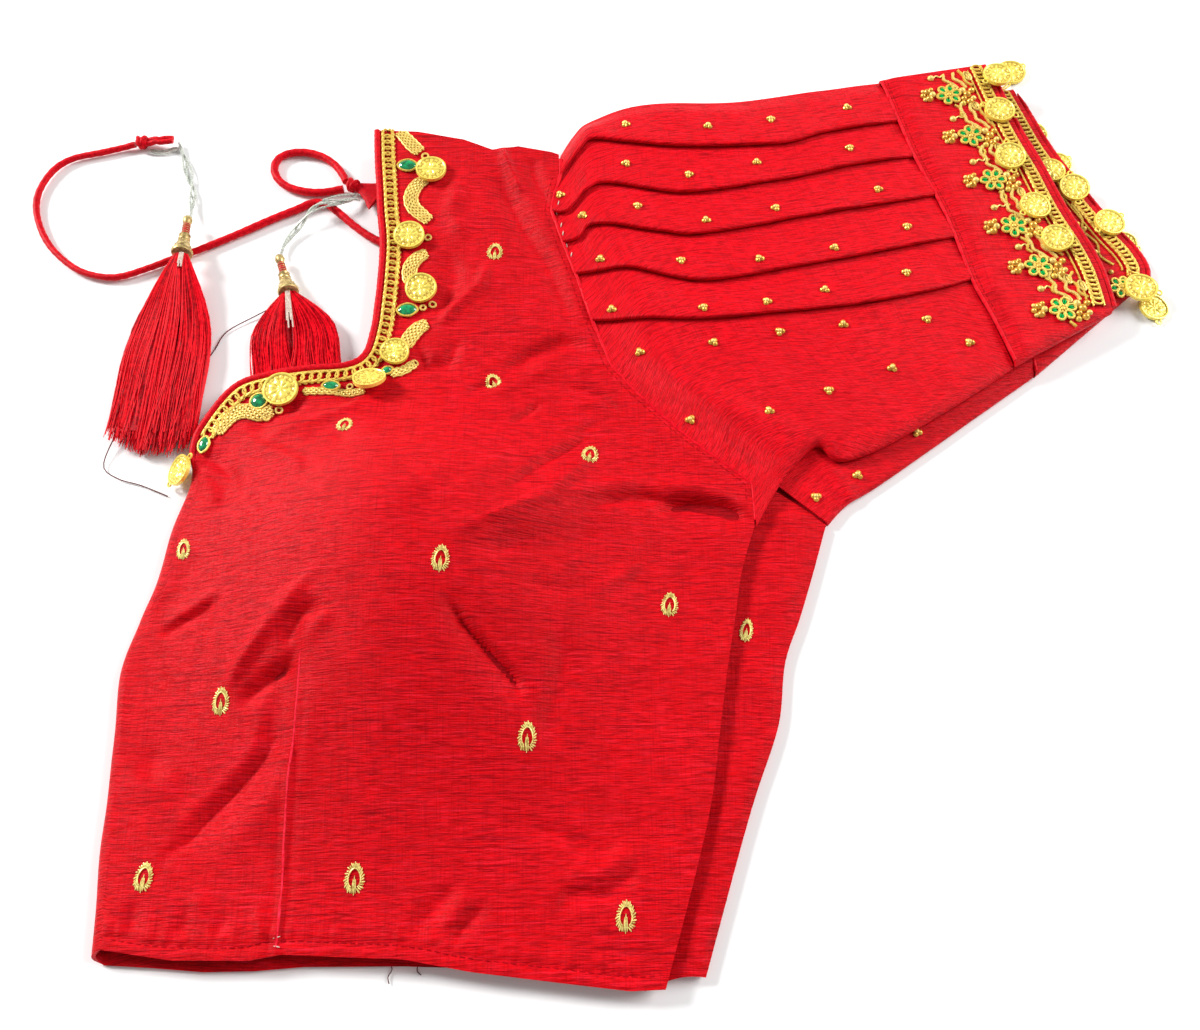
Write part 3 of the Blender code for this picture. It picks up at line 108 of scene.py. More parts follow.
# row, fold or neck edge x y, edge of the layers inside x y, side seam or armhole x y,
# side seam or armhole of the left half below x y
BODY_ROWS = (
    ("hem", 0, 0, 2.5, -5, 200.5, -12.5, 215, -8),
    ("above hem", -3, 35, -3, 35, 212.5, 27, 229, 34),
    ("low waist", -5, 70, -5, 70, 219, 52, 236, 54),
    ("waist", -7, 100, -7, 100, 223.5, 80, 246, 80),
    ("under bust", -3.2, 120, -3.2, 120, 227.5, 104, 250, 104),
    ("low bust", 1.4, 136, 1.4, 136, 231, 122, 257, 122),
    ("bust", 4, 156, 4, 156, 234.5, 141, 264, 142),
    ("underarm", 8.5, 178, 8.5, 178, 240.5, 160, 270.5, 162),
    ("neck foot", 6.5, 194, 16, 188, 240.3, 170, 265, 167),
    ("neck 1", 9, 206, 30, 192, 240, 179, 250, 178),
    ("neck 2", 21, 224, 48, 197, 228, 189, 240, 188),
    ("neck 3", 36, 230, 62, 201, 221.5, 194, 234, 194),
    ("neck 4", 53, 233, 74, 206, 215, 199.5, 228, 200),
    ("neck 5", 68, 235, 84, 214, 203.5, 210.5, 217, 213),
    ("neck corner", 75, 240, 88, 226, 192, 222.5, 206, 227),
    ("strap 1", 77.5, 252, 87, 243, 182, 235, 198, 241),
    ("strap 2", 78.2, 266, 85, 260, 174, 256, 191, 260),
    ("strap 3", 78.5, 282, 84.5, 280, 166.5, 280.5, 185, 282),
    ("strap 4", 78, 298, 84, 297, 160.5, 297.5, 180, 298),
    ("strap 5", 75.8, 314, 82, 314, 155, 315, 176, 315),
    ("strap 6", 74, 330, 80, 330, 156, 326, 175, 326),
    ("strap 7", 72, 346, 78, 346, 158.7, 336, 175, 336),
    ("shoulder", 70.5, 362, 76, 359, 158.5, 348, 174, 345),
)
UNDERARM = 7            # row of the underarm
FOLD_END = 7.62         # row where the centre-front fold opens into the neck
NECK_END = 21.97        # row where the neck's trims end at the shoulder
UNDER_SLIP = 5.0        # how much lower than the top the layer underneath ends at the fold
HEM_EDGE = ((0, 0), (26, -3.5), (53, -3.5), (64.5, -1.5), (108, -3), (132, -7), (164, -10.5),
            (188, -13), (200.5, -12.5))
UNDER_HEM_EDGE = ((2.5, -5), (26, -6.2), (45, -7.8), (71.5, -5.5), (115, -5.2), (200, -9), (215, -8))
SHOULDER_EDGE = ((70.5, 362), (90, 361), (112.5, 356.5), (126.5, 350.5), (139, 352.5), (158.5, 348))

# creases and pulls of the cloth: depth (a trough is negative), half width, points x y
CREASES = (
    ("dart drag", -2.2, 6.0, (63, 112), (56, 66), (21, 28)),
    ("dart drag ridge", 1.3, 8.0, (70, 96), (66, 60), (34, 24)),
    ("under cup", -2.4, 6.5, (116, 128), (135, 104), (152, 82)),
    ("cup to armhole", 1.8, 8.0, (118, 150), (146, 158), (172, 180)),
    ("cup to armhole low", -1.5, 7.0, (128, 143), (156, 148), (186, 160)),
    ("underarm", -1.4, 5.0, (238, 162), (222, 168), (200, 166)),
    ("strap drag", -1.6, 7.0, (132, 345), (140, 312), (150, 262)),
    ("neck drag", -1.2, 5.0, (20, 200), (27, 178), (26, 160)),
    ("side drag", -0.9, 7.0, (170, 48), (190, 40), (212, 44)),
)
PULLS = (
    ("underarm fold", -0.6, 2.0, (158, 161), (172, 168), (194, 172.5), (215, 169.5), (233, 164.5),
     (243, 160.5)),
    ("underarm roll", 0.8, 3.0, (172, 173), (194, 178), (215, 175.5), (240, 168)),
    ("dart top fold", -1.1, 2.6, (42, 86), (52, 92), (63, 101), (69, 112), (79, 123)),
    ("dart top lip", 1.1, 2.8, (34, 86), (42, 101), (55, 121), (74, 136)),
    ("ray thread", 0.7, 1.3, (121, 149), (139, 157), (154, 168), (168, 186), (187, 203)),
    ("ray dark", -0.8, 1.7, (139, 171), (152, 184), (165, 199), (186, 212)),
    ("waist bend", -0.5, 3.0, (159, 124), (163, 102), (158, 80), (163, 65)),
    ("dart fan ridge", 1.3, 3.4, (37, 93), (50, 110), (68, 130)),
    ("dart fan trough", -1.9, 3.0, (74, 122), (65, 117), (59, 104)),
    ("dart side trough", -1.4, 3.0, (66, 99), (52, 94), (42, 83)),
    ("dart shoulder", 1.4, 3.0, (78, 118), (69, 112), (66, 104)),
    ("dart drag lip", 0.55, 2.8, (61, 88), (53, 80), (49, 68), (40, 57), (28, 46), (19, 34)),
    ("dart drag", -0.85, 1.4, (64, 82), (58, 72), (51, 62), (42, 52), (34, 44), (29, 37), (22, 32),
     (20, 22)),
    ("flank crease", -1.5, 2.0, (7, 113), (15, 118), (23, 122), (32, 128)),
    ("flank lip", 0.8, 3.2, (9, 118), (18, 123), (32, 131)),
    ("cup crease", -2.0, 1.8, (118, 124), (129, 111), (144, 96), (150, 87)),
    ("cup crease lip", 0.8, 2.4, (122, 125), (133, 111), (147, 97)),
    ("waist shade", -0.7, 4.4, (164, 117), (164, 91), (156, 72)),
    ("low right 1", -0.8, 3.0, (145, 43), (163, 39), (178, 34), (187, 33)),
    ("low right 2", -1.4, 2.6, (193, 31), (187, 22), (178, 18), (167, 18), (163, 11)),
    ("low right lip", 0.9, 3.4, (192, 36), (178, 26), (164, 24)),
    ("hem pull 1", -1.0, 2.8, (128, 23), (118, 12), (109, 3)),
    ("hem pull 2", -1.2, 2.4, (139, 16), (130, 8), (126, 2)),
    ("hem pull lip", 0.8, 2.6, (133, 19), (122, 7)),
    ("hem dent 1", -0.8, 2.8, (13, 17), (14, 5)),
    ("hem dent 2", -1.1, 3.2, (34, 16), (31, 9), (31, 4)),
    ("hem dent 3", -0.7, 2.4, (46, 12), (44, 4)),
    ("hem fan", 0.9, 1.8, (56, 15), (61, 3)),
    ("hem lip", 0.7, 3.4, (40, 19), (26, 6)),
    ("flank dent", -0.7, 5.0, (14, 70), (9, 58)),
    ("under cup 1", -0.6, 2.2, (147, 131), (161, 129), (178, 131)),
    ("under cup 2", 0.6, 2.6, (174, 129), (194, 142)),
    ("neck foot pull", -1.1, 2.2, (10, 191), (18, 189), (28, 180), (34, 166)),
    ("neck foot lip", 1.0, 2.6, (27, 198), (43, 190), (55, 183), (60, 176)),
    ("neck foot low", -0.8, 2.4, (16, 184), (24, 176), (29, 163)),
    ("neck hollow", -1.3, 4.0, (30, 201), (44, 209), (52, 216)),
    ("neck streak", 1.0, 2.8, (36, 196), (54, 203), (70, 209), (81, 216)),
    ("neck shade", -0.7, 4.0, (55, 194), (67, 199), (78, 191)),
    ("scroll dent", -1.0, 2.8, (66, 222), (76, 214)),
    ("strap ridge", 1.5, 2.2, (131, 353), (136, 339), (142, 324)),
    ("strap dark", -1.7, 4.4, (125, 346), (133, 327), (143, 307), (154, 287), (161, 267), (167, 250)),
    ("strap side", -1.6, 3.6, (144, 347), (149, 330), (157, 316)),
    ("strap swell", 1.2, 4.6, (114, 336), (110, 314), (119, 298)),
    ("coin hollow", -1.3, 4.4, (106, 293), (113, 282), (111, 271), (103, 259)),
    ("scroll cup", -1.5, 2.8, (97, 246), (103, 234), (112, 235), (118, 250)),
    ("strap light", 1.3, 2.8, (129, 290), (125, 275), (114, 264), (106, 251)),
    ("cup shelf", -2.0, 3.2, (134, 230), (148, 240), (161, 246), (174, 244)),
    ("cup shelf low", -1.2, 1.9, (121, 221), (135, 227)),
    ("cup shelf lip", 0.9, 3.4, (129, 219), (145, 226), (162, 236)),
    ("armhole arc", -0.8, 2.0, (161, 225), (178, 220), (187, 210)),
    ("small cross", -1.2, 1.7, (140, 203), (147, 209), (153, 216)),
    ("ray 1", 1.2, 2.2, (138, 168), (154, 186), (170, 204)),
    ("ray 2", -1.4, 2.2, (138, 165), (150, 179), (166, 194), (181, 207)),
    ("ray 3", 1.3, 1.9, (123, 148), (139, 156), (155, 165), (168, 181), (176, 191)),
    ("ray 4", -0.7, 2.6, (123, 143), (140, 144), (163, 157)),
    ("ray 5", 0.6, 3.4, (120, 160), (131, 176), (142, 190)),
    ("cup dent", -0.7, 5.6, (108, 168), (113, 158), (107, 150)),
    ("underarm 1", -1.1, 2.1, (166, 161), (182, 169), (198, 171), (212, 170)),
    ("underarm 2", -2.4, 2.4, (198, 165), (214, 170), (228, 168), (243, 161)),
    ("underarm lip", 1.1, 3.0, (203, 177), (219, 177), (237, 170)),
    ("underarm high", 0.7, 2.4, (162, 168), (179, 176), (196, 180)),
    ("fold ripple", -0.7, 5.0, (2, 120), (14, 132), (20, 150)),
    ("fold ripple low", 0.6, 5.0, (-1, 60), (12, 56), (26, 60)),
)
BACK_CREASES = (
    ("strip pull 1", -0.8, 4.0, (224, 116), (238, 108), (250, 106)),
    ("strip pull 2", 0.7, 4.0, (230, 132), (244, 128), (258, 132)),
    ("strip pull 3", 0.5, 5.0, (222, 70), (234, 64), (244, 66)),
    ("strip dent", -0.6, 5.0, (234, 44), (230, 34), (222, 24)),
)
DART = ((65, 1), (65, 17), (64.3, 34), (64.2, 54), (65.4, 70), (66, 86), (66, 106))
DART_RIDGE = 0.9
DART_X = 63.0
DART_REACH = 9.0        # farther than this from DART_X the dart adds nothing
DART_END = DART[-1][1] + 4
PULL_STRENGTH = 1.55
HEM_GROOVE = 4.6        # from the hem's edge to its row of stitches
PUCKER = 4.9            # pitch of the hem's puckers

# line along the right sleeve, from the armhole to the band's seam
SLEEVE_LINES = (
    ("top fold", (158.8, 348.4), (165, 360), (173, 368.5), (198, 379), (243, 381), (283, 388),
     (313.5, 393)),
    ("pleat", (159, 336), (169, 350), (177, 354.5), (214, 351.5), (262, 353), (286, 360.5),
     (319.5, 367.5)),
    ("pleat", (155.3, 315), (163, 315), (172, 325.5), (184, 329), (219, 324.5), (262, 332),
     (299, 341.5), (324.5, 346)),
    ("pleat", (160.8, 297.6), (168.5, 300), (175, 306), (205, 302.5), (224, 301), (271, 311),
     (332, 323.5)),
    ("pleat", (166.8, 280.6), (177, 281.5), (193, 282), (222, 276), (259, 282), (295, 290),
     (338, 300)),
    ("pleat", (174.3, 256.1), (187, 255.8), (217, 255.8), (242, 257.6), (292, 264), (324, 271),
     (342.5, 277)),
    ("plain", (182.3, 235.2), (205, 237), (250, 241), (300, 252), (345.5, 267)),
    ("plain", (192.3, 222.8), (225, 226), (262, 231), (305, 243), (348.5, 259)),
    ("plain", (215.3, 199.8), (240, 209), (265, 214), (306, 228), (352.5, 246.5)),
    ("plain", (228.2, 189.3), (247, 199), (267, 205), (307, 217), (354.5, 239)),
    ("plain", (240.3, 179.2), (251, 188), (268, 200), (308, 208), (355, 237.6)),
    ("low fold", (241, 160), (249, 174), (256.5, 185), (268.4, 196), (276, 189.5), (289, 192.5),
     (308, 202.5), (335, 219.5), (356, 234)),
)
# ridge of the right sleeve: two points of its line, and the x where it starts and ends
RIDGE_FOOT = (216, 219)
RIDGE_TIP = (268, 196)
RIDGE_START_X = 212
RIDGE_END_X = 275
LEFT_SLEEVE_LINES = (
    ("top fold", (174.5, 345.3), (200, 362), (260, 372), (330, 384)),
    ("plain", (176.2, 315), (215, 320), (270, 326), (346, 336)),
    ("plain", (191.2, 260.2), (230, 262), (290, 272), (358, 288)),
    ("plain", (217.3, 213.3), (255, 222), (305, 240), (364, 262)),
    ("plain", (240.3, 188.3), (262, 196), (306, 216), (366, 246)),
    ("low fold", (270.8, 162.3), (279, 171), (293, 180), (319, 198.5), (340.5, 214), (366.5, 232.5)),
)

# across the band: seam x y, mouth x y
BAND_LINES = (
    ("top fold", 313.9, 393.1, 366, 402.5),
    ("row 1", 319.9, 367.6, 374.5, 366),
    ("row 2", 324.9, 346.1, 382, 342.7),
    ("row 3", 332.4, 323.6, 389, 317.3),
    ("row 4", 338.4, 300.1, 396, 297.8),
    ("row 5", 342.9, 277.1, 400, 284),
    ("row 6", 348.9, 259.1, 401.5, 272),
    ("low fold", 356.4, 234.2, 402.2, 260.4),
)
LEFT_BAND_LINES = (
    ("top fold", 330.4, 384.1, 380.4, 393),
    ("row 1", 346.4, 336.1, 392, 356),
    ("row 2", 354.4, 305, 406, 326),
    ("row 3", 358.4, 288.1, 415.5, 308),
    ("row 4", 364.4, 262.1, 421.5, 298),
    ("row 5", 366.4, 246.1, 424.6, 288),
    ("low fold", 366.9, 232.6, 423, 280),
)

# coin: x, y, diameter; for a loose one also its tilt about the row's Y axis in degrees and its height;
# for one that leans back on its trim a 0, how far it is raised and its lean in degrees
NECK_COINS = ((99.5, 336.7, 14), (91.8, 300, 14), (98.8, 272, 14), (89.5, 239.5, 12.5),
              (80.6, 223.2, 14, 0, 2.0, 17), (43.5, 219.5, 15), (4.0, 185.2, 13.5, -38, 6.2))
RIGHT_COINS = ((369.5, 392.5, 13.5), (367.5, 371, 14), (368.6, 343.5, 14), (375.7, 315, 14),
               (382.8, 297, 14))
LEFT_COINS = ((382.3, 406.5, 14, 0, 0.6), (389.9, 340.9, 12.5), (399, 331, 14), (411.8, 311, 14),
              (419.5, 275.5, 14))
# coins half hidden behind the left cuff's edge
BEHIND_COINS = ((388.2, 367.2, 11, 8, 1.6), (396.9, 348.8, 11, 8, 1.6), (419.4, 303.0, 11, 8, 1.6),
                (426.0, 268.2, 13, 7, 0.9))
# wire that ties the flat coin to the corner of the left cuff: x, y, z
COIN_LINKS = (((374.6, 394.6, 2.4), (377.2, 396.0, 2.2), (379.2, 398.6, 1.4), (380.0, 401.0, 1.0)),
              ((375.2, 393.8, 2.2), (378.4, 395.6, 2.0), (380.6, 398.4, 1.2), (381.0, 401.0, 0.9)))
# stone: x, y, length, width, turn in degrees
STONES = ((88.2, 340.3, 8.4, 5.9, -4), (93.2, 261.8, 8.2, 5.6, 4), (86.8, 230.6, 4.6, 3.4, 30),
          (64.0, 222.0, 6.6, 4.2, 0), (34.3, 215.2, 6.8, 6.4, 0), (13.0, 196.0, 6.8, 4.2, 80))
FLOWERS = ((345.2, 381.7), (352.5, 356.6), (359.3, 330.7), (365, 304.7), (372.7, 282.9),
           (380.0, 260.5))
LEFT_FLOWER = (411.5, 276.5)
LEFT_CUFF_VINES = (
    ((392.0, 322), (394.5, 315), (393.5, 309), (399.0, 302), (398.5, 296), (403.5, 289), (404.5, 283)),
    ((397.0, 323), (400.5, 315), (399.8, 308), (405.0, 301), (405.2, 294), (410.5, 289)),
    ((386, 340), (387.5, 334), (392.5, 329), (394.0, 322)))
LEFT_CUFF_BEADS = ((394.5, 318.5, 2.8), (397.6, 311.5, 3.0), (400.6, 309.0, 2.6), (399.6, 299.0, 3.0),
                   (403.4, 296.2, 2.6), (405.0, 281.6, 3.0), (408.6, 285.0, 2.4), (416.4, 283.4, 2.6))
# short pieces of scroll gimp: x, y, width
SCROLLS = (
    ((82.5, 361.0, 3.0), (86, 357, 4.0), (90, 352, 4.6), (94, 348, 3.6)),
    ((98, 333.0, 3.0), (93.5, 329.5, 4.2), (91.0, 323, 4.6), (92.2, 317, 4.6), (96.4, 312.5, 4.4),
     (100.6, 308.8, 3.0)),
    ((100.6, 291.8, 3.0), (96.4, 289.4, 4.2), (93.4, 285, 4.6), (93.0, 280, 4.6), (94, 275, 3.6)),
    ((103, 255.0, 3.0), (98.8, 252.8, 4.4), (95.6, 248.5, 4.8), (93, 243, 4.2)),
    ((88, 229.5, 2.6), (93.5, 231.0, 2.4), (98.5, 235.4, 2.0)),
    ((79, 220.2, 1.6), (74, 219.0, 1.4), (64, 219.6, 1.6), (52, 219.4, 1.4)),
    ((41, 211.0, 2.6), (35, 209.6, 4.6), (29.5, 211, 4.8), (24, 210, 5.0), (20, 206, 4.8),
     (17.4, 200.5, 3.0)))
# small curled ends of the scroll: x, y, radius
SCROLL_CURLS = ((96, 346, 1.5), (100, 300, 1.4), (104, 265, 1.4), (100, 263, 1.2), (98, 235, 1.4),
                (95, 232, 1.3), (38, 208, 1.4), (43, 211, 1.3), (72, 222, 1.2))
BRAID_START = 8.62      # row where the neck braid ends at the stone beside the fold
BRAID_WIDTH = 6.2
CUFF_BRAID_WIDTH = 6.0
# silver thread ends laid along a knot's tail: x, y, z
THREAD_TAILS = (((-38.5, 356.6, 1.2), (-32, 355.6, 0.9), (-27, 357.0, 1.0), (-23.6, 358.4, 1.4)),
                ((-38, 358.0, 0.9), (-31, 357.8, 0.7), (-26, 359.2, 1.0), (-22.6, 356.4, 1.3)),
                ((66, 330, 2.2), (61, 328.4, 4.6), (55, 326.2, 6.0), (49, 323.4, 6.4)),
                ((65.5, 327, 2.2), (59, 325.4, 5.0), (50, 319.4, 6.2)))
# loose thread ends under the hem: x, y, z
THREAD_ENDS = (((103.9, -3.9, 0.6), (104.8, -6.1, 0.6), (103.5, -8.4, 0.6), (104.1, -10.7, 0.6)),
               ((113.8, -4.8, 0.6), (113.6, -6.5, 0.6), (115.1, -7.8, 0.6)))

DORI_1_ROUTE = ((79.0, 302, 2.3), (71.5, 306.5, 2), (64, 312.5, 2), (56.5, 319.5, 2), (50, 325, 2),
                (43.5, 325.5, 2), (36.5, 321.8, 2), (27, 317, 2), (12, 308.5, 2), (-4, 300, 2),
                (-16, 294.6, 2), (-28, 288.8, 2), (-41.5, 284, 2), (-55, 286, 2), (-66, 292.5, 2),
                (-76.5, 303.5, 2), (-84, 318, 2), (-86, 331, 2), (-82, 344, 2), (-74, 351.5, 2),
                (-60, 355.5, 2), (-51, 358.2, 2), (-45, 359.8, 2.6))
DORI_2_ROUTE = ((58.2, 337.6, 2.4), (56, 342, 2), (52, 347.6, 2), (46, 352.4, 2), (38, 355.2, 2),
                (30, 355, 2), (24.5, 351.5, 2), (23.2, 345.5, 2), (26, 339, 2), (31.5, 334.6, 2),
                (40, 332, 2), (48, 331.8, 2), (57.2, 333.4, 2.4))
THREAD_1_ROUTE = ((-24.5, 361.4, 1.6), (-22.5, 356, 1.4), (-19.8, 349, 1.2), (-16.5, 340, 1.2),
                  (-13.5, 330, 1.3), (-11.8, 321, 2.4), (-11.6, 315.2, 4.4))
THREAD_2_ROUTE = ((64.2, 329.3, 2.4), (61.5, 326, 3.6), (57, 323.6, 5.2), (52, 322.6, 5.8),
                  (47, 320.6, 5.8), (42.5, 316.3, 5.2), (38, 310.6, 2.6), (34.5, 304.5, 1.6),
                  (32.6, 298.8, 2.0), (32.3, 295.2, 2.8))

# knots of the ties: middle, a point that each faces
KNOT_1 = ((-41.6, 360.4, 3.2), (-20, 361.6, 3.2))
KNOT_2 = ((61.5, 334.8, 3.2), (70, 331, 3.2))
# end of the second tie between its knot and the strap: x, y, width
TIE_ROOT = ((62.6, 334.6, 4.4), (66.6, 333.2, 7.0), (70.8, 331.2, 12), (74.6, 329.0, 18))
TIE_ROOT_HEIGHT = 2.6
# tack stitches at the armhole and the dart's foot: x, y, and where the end lies from there
TACKS = ((158.6, 318, 0.4, 2.2), (158.2, 314, -0.5, 2.0), (160, 306, 0.4, 2.4), (161, 301, 0.2, 2.4),
         (163, 296, -0.4, 2.2), (164.8, 290, 0.4, 2.4), (63.8, 4, 2.4, 0.6), (64.2, 1.5, 2.2, -0.4))
# cap: bead end, open end
CAP_1 = ((-11.8, 314.6, 6.0), (-10.2, 291.0, 9.4))
CAP_2 = ((31.6, 294.6, 3.8), (39.4, 272.2, 6.8))
# tassel: head, foot, length, head width and height, foot width and height, share where it is spread
TASSEL_1 = ((-10.2, 290.6, 9.3), (-12.5, 192, 4.0), 98.5, (6.8, 5.0), (37.5, 6.6), 0.62)
TASSEL_2 = ((39.5, 272.0, 6.6), (49.0, 215, 3.4), 58.0, (6.8, 5.0), (39.0, 5.6), 0.45)
# one strand that lies apart from each tassel: x, y, z
LOOSE_SILK_1 = ((-27, 205, 3), (-31, 190, 1), (-24, 184, 0.6), (-14, 181, 0.5), (-2, 176, 0.5))
LOOSE_SILK_2 = ((33, 268, 3), (24, 264, 1), (12, 256, 0.6), (8, 247, 0.5), (6, 243, 0.5))

# gold beads sewn on the sleeves, and the small woven motifs of the body: x, y
SLEEVE_BEADS = (
    (190, 364), (229, 363), (259, 367), (296, 375), (190, 340), (219, 334), (251, 342), (295, 350),
    (159.5, 324), (170, 311), (195, 316), (226, 308), (258, 315), (306, 326), (178, 287), (214, 286),
    (249, 287), (283, 293), (317, 305), (183, 261), (223, 261), (251, 264), (277, 271), (314, 280),
    (195, 240), (227, 245), (256, 250), (284, 254), (321, 257), (338, 245), (303, 232), (275, 221),
    (249, 211), (216, 208))
LEFT_BEADS = ((312, 204), (285, 184), (267, 174))
# motif: x, y, width, length, turn in degrees
BUTIS = (
    (130.6, 292.7, 7.4, 9.4, -4), (132.1, 226.5, 7.0, 7.8, 20), (73, 200.9, 7.2, 7.4, -8),
    (173.8, 190.2, 7.2, 9.0, -10), (11.8, 148.8, 6.0, 9.2, 6), (117.9, 136.8, 7.0, 11.0, -4),
    (205.2, 126.3, 7.0, 10.4, -6), (35.6, 86.9, 7.2, 11.0, 2), (151, 73.4, 7.2, 11.6, -2),
    (15.2, 24.4, 7.0, 10.8, -4), (90.5, 23.9, 7.6, 11.4, 0), (187.0, 11.2, 7.4, 11.4, -2))
BACK_BUTI = (235.4, 117.2, 5.4, 10.0, -10)

# one sprig of the cuff, from its flower's middle: beads x y size slot, ball, vines, leaves
LEFT_CLUSTER = ((-12.4, -0.6, 2.8, 2), (-10.2, 1.6, 3.6, 2), (-9.6, -2.4, 3.8, 2), (-7.8, 0.2, 3.4, 3),
                (-11.6, -3.0, 2.2, 3), (-12.2, 2.0, 2.0, 3), (-8.2, 3.2, 2.4, 2))
RIGHT_CLUSTER = ((6.9, 3.2, 3.6, 3), (9.0, 0.8, 4.0, 2), (7.2, -1.8, 3.2, 2), (9.8, -3.6, 3.6, 2),
                 (6.4, -4.8, 3.0, 0), (11.4, 3.4, 3.2, 2), (11.8, -1.4, 2.8, 3))
STEM_BALL = (-7.4, 10.6)
VINES = (
    (((-6.2, 10.8), (-4.6, 12.2), (-3.0, 11.4), (-1.6, 12.6)), 0.4, 3),
    (((-1.8, 20.5), (-3.0, 16.5), (-1.2, 13.0), (-0.8, 9.4), (2.4, 7.4), (5.2, 4.4)), 0.82, 3),
    (((3.2, 22.0), (1.6, 17.4), (3.8, 14.2), (3.8, 10.6), (7.2, 8.2), (9.2, 4.8)), 0.82, 3),
    (((7.6, 20.0), (6.4, 16.0), (8.6, 12.6), (9.4, 9.0), (12.4, 6.4)), 0.7, 0),
    (((2.2, -6.0), (5.2, -8.6), (4.4, -12.0), (6.4, -14.0)), 0.7, 0),
)
LEAVES = ((10.6, 12.4, 5.4, 3.0, -62), (12.2, -6.4, 5.0, 2.8, -70), (3.2, 5.6, 3.8, 2.4, -40))

RED = (0.66, 0.001, 0.004)
RED_PALE = (0.88, 0.014, 0.036)
RED_DARK = (0.26, 0.0, 0.004)
SLEEVE_RED = (0.74, 0.001, 0.006)
# the body's red cloth darkened for the layers inside the fold: painted shade
SHADED_INSIDE_RED = (0.32, 0.002, 0.006)
GOLD = (0.93, 0.66, 0.11)
GOLD_DARK = (0.44, 0.24, 0.03)
COIN_GOLD = (1.0, 0.84, 0.16)
OLD_GOLD = (0.66, 0.50, 0.20)
GREEN = (0.0, 0.34, 0.11)
SILVER = (0.66, 0.69, 0.62)


# ---- curves and small vector helpers -------------------------------------------------------------

def place(x, y, z):
    """Point of the lay frame, in the model's metres."""
    return Vector(((x - ORIGIN_X) * MM, (y - ORIGIN_Y) * MM, z * MM))


def mix(a, b, t):
    """Point at share t of the way from a to b."""
    return tuple(p + (q - p) * t for p, q in zip(a, b))


def smooth(t):
    """Eases from 0 to 1 as t does, and stays there."""
    t = min(max(t, 0.0), 1.0)
    return t * t * (3 - 2 * t)


def catmull(points, t):
    """Smooth curve through some points; t counts the points."""
    i = min(max(int(t), 0), len(points) - 2)
    f = t - i
    a = points[max(i - 1, 0)]
    b = points[i]
    c = points[i + 1]
    d = points[min(i + 2, len(points) - 1)]
    return tuple(
        0.5 * (2 * q + (r - p) * f + (2 * p - 5 * q + 4 * r - s) * f * f + (3 * q - p - 3 * r + s) * f ** 3)
        for p, q, r, s in zip(a, b, c, d))


def along(points, share):
    """Point at a share of a route's length."""
    lengths = [math.dist(p, q) for p, q in zip(points, points[1:])]
    left = share * sum(lengths)
    for p, q, length in zip(points, points[1:], lengths):
        if left <= length:
            return mix(p, q, left / length)
        left -= length
    return tuple(float(v) for v in points[-1])


def softened(points, per=6):
    """A route with its corners rounded by a smooth curve through its points."""
    return [catmull(points, i / per) for i in range(per * (len(points) - 1) + 1)]


def run_lengths(spots):
    """How far along its route each spot lies."""
    runs = [0.0]
    for p, q in zip(spots, spots[1:]):
        runs.append(runs[-1] + math.dist(p, q))
    return runs


def evenly(points, pitch):
    """Spots at an even pitch along the smooth curve through some points."""
    fine = softened(points, 8)
    runs = run_lengths(fine)
    count = max(2, round(runs[-1] / pitch))
    spots = []
    j = 0
    for i in range(count + 1):
        goal = runs[-1] * i / count
        while j < len(fine) - 2 and runs[j + 1] < goal:
            j += 1
        span = max(runs[j + 1] - runs[j], 1e-9)
        spots.append(mix(fine[j], fine[j + 1], min(max((goal - runs[j]) / span, 0.0), 1.0)))
    return spots


def circle(count):
    """Angles of the points of a ring."""
    return [2 * math.pi * k / count for k in range(count)]


def left_normal(before, after):
    """Unit normal on the left of the way from one point to the next."""
    dx = after[0] - before[0]
    dy = after[1] - before[1]
    size = math.hypot(dx, dy) or 1.0
    return (-dy / size, dx / size)


def shifted(point, normal, distance):
    """A point moved along a direction, in the plane."""
    return (point[0] + normal[0] * distance, point[1] + normal[1] * distance)


def ripple(x, y, seed=0.0):
    """Low uneven waves that no two places share."""
    return (math.sin(x * 0.071 + y * 0.043 + seed) * math.sin(y * 0.089 - x * 0.031 + 2.1 * seed)
            + 0.5 * math.sin(x * 0.19 + 1.7 * seed) * math.sin(y * 0.153 + 0.6 + seed))


def bump(distance, width):
    """Height of a soft ridge at some distance from its middle."""
    return math.exp(-(distance / width) ** 2)


# ---- shape of the body -----------------------------------------------------------------------------

def crease_sum(creases, x, y, steep=4.0, start=0.0):
    """Height that creases add; each fades out towards its ends, by steep and from start."""
    total = 0.0
    for _, depth, width, *points in creases:
        reach = 3 * width
        if not (min(p[0] for p in points) - reach < x < max(p[0] for p in points) + reach
                and min(p[1] for p in points) - reach < y < max(p[1] for p in points) + reach):
            continue
        near = 1e9
        share = 0.0
        for k, (p, q) in enumerate(zip(points, points[1:])):
            dx = q[0] - p[0]
            dy = q[1] - p[1]
            t = min(max(((x - p[0]) * dx + (y - p[1]) * dy) / (dx * dx + dy * dy), 0.0), 1.0)
            away = math.hypot(x - p[0] - t * dx, y - p[1] - t * dy)
            if away < near:
                near = away
                share = (k + t) / (len(points) - 1)
        fade = smooth(share * steep + start) * smooth((1 - share) * steep + start)
        total += depth * fade * bump(near, width)
    return total


def bust(x, y):
    """Height that the cup adds."""
    across = (x - BUST_X) / (BUST_LEFT if x < BUST_X else BUST_RIGHT)
    upward = (y - BUST_Y) / (BUST_NECK if y > BUST_Y else BUST_HEM)
    reach = min(math.hypot(across, upward), 1.0)
    return BUST_HEIGHT * math.cos(reach * math.pi / 2) ** 2


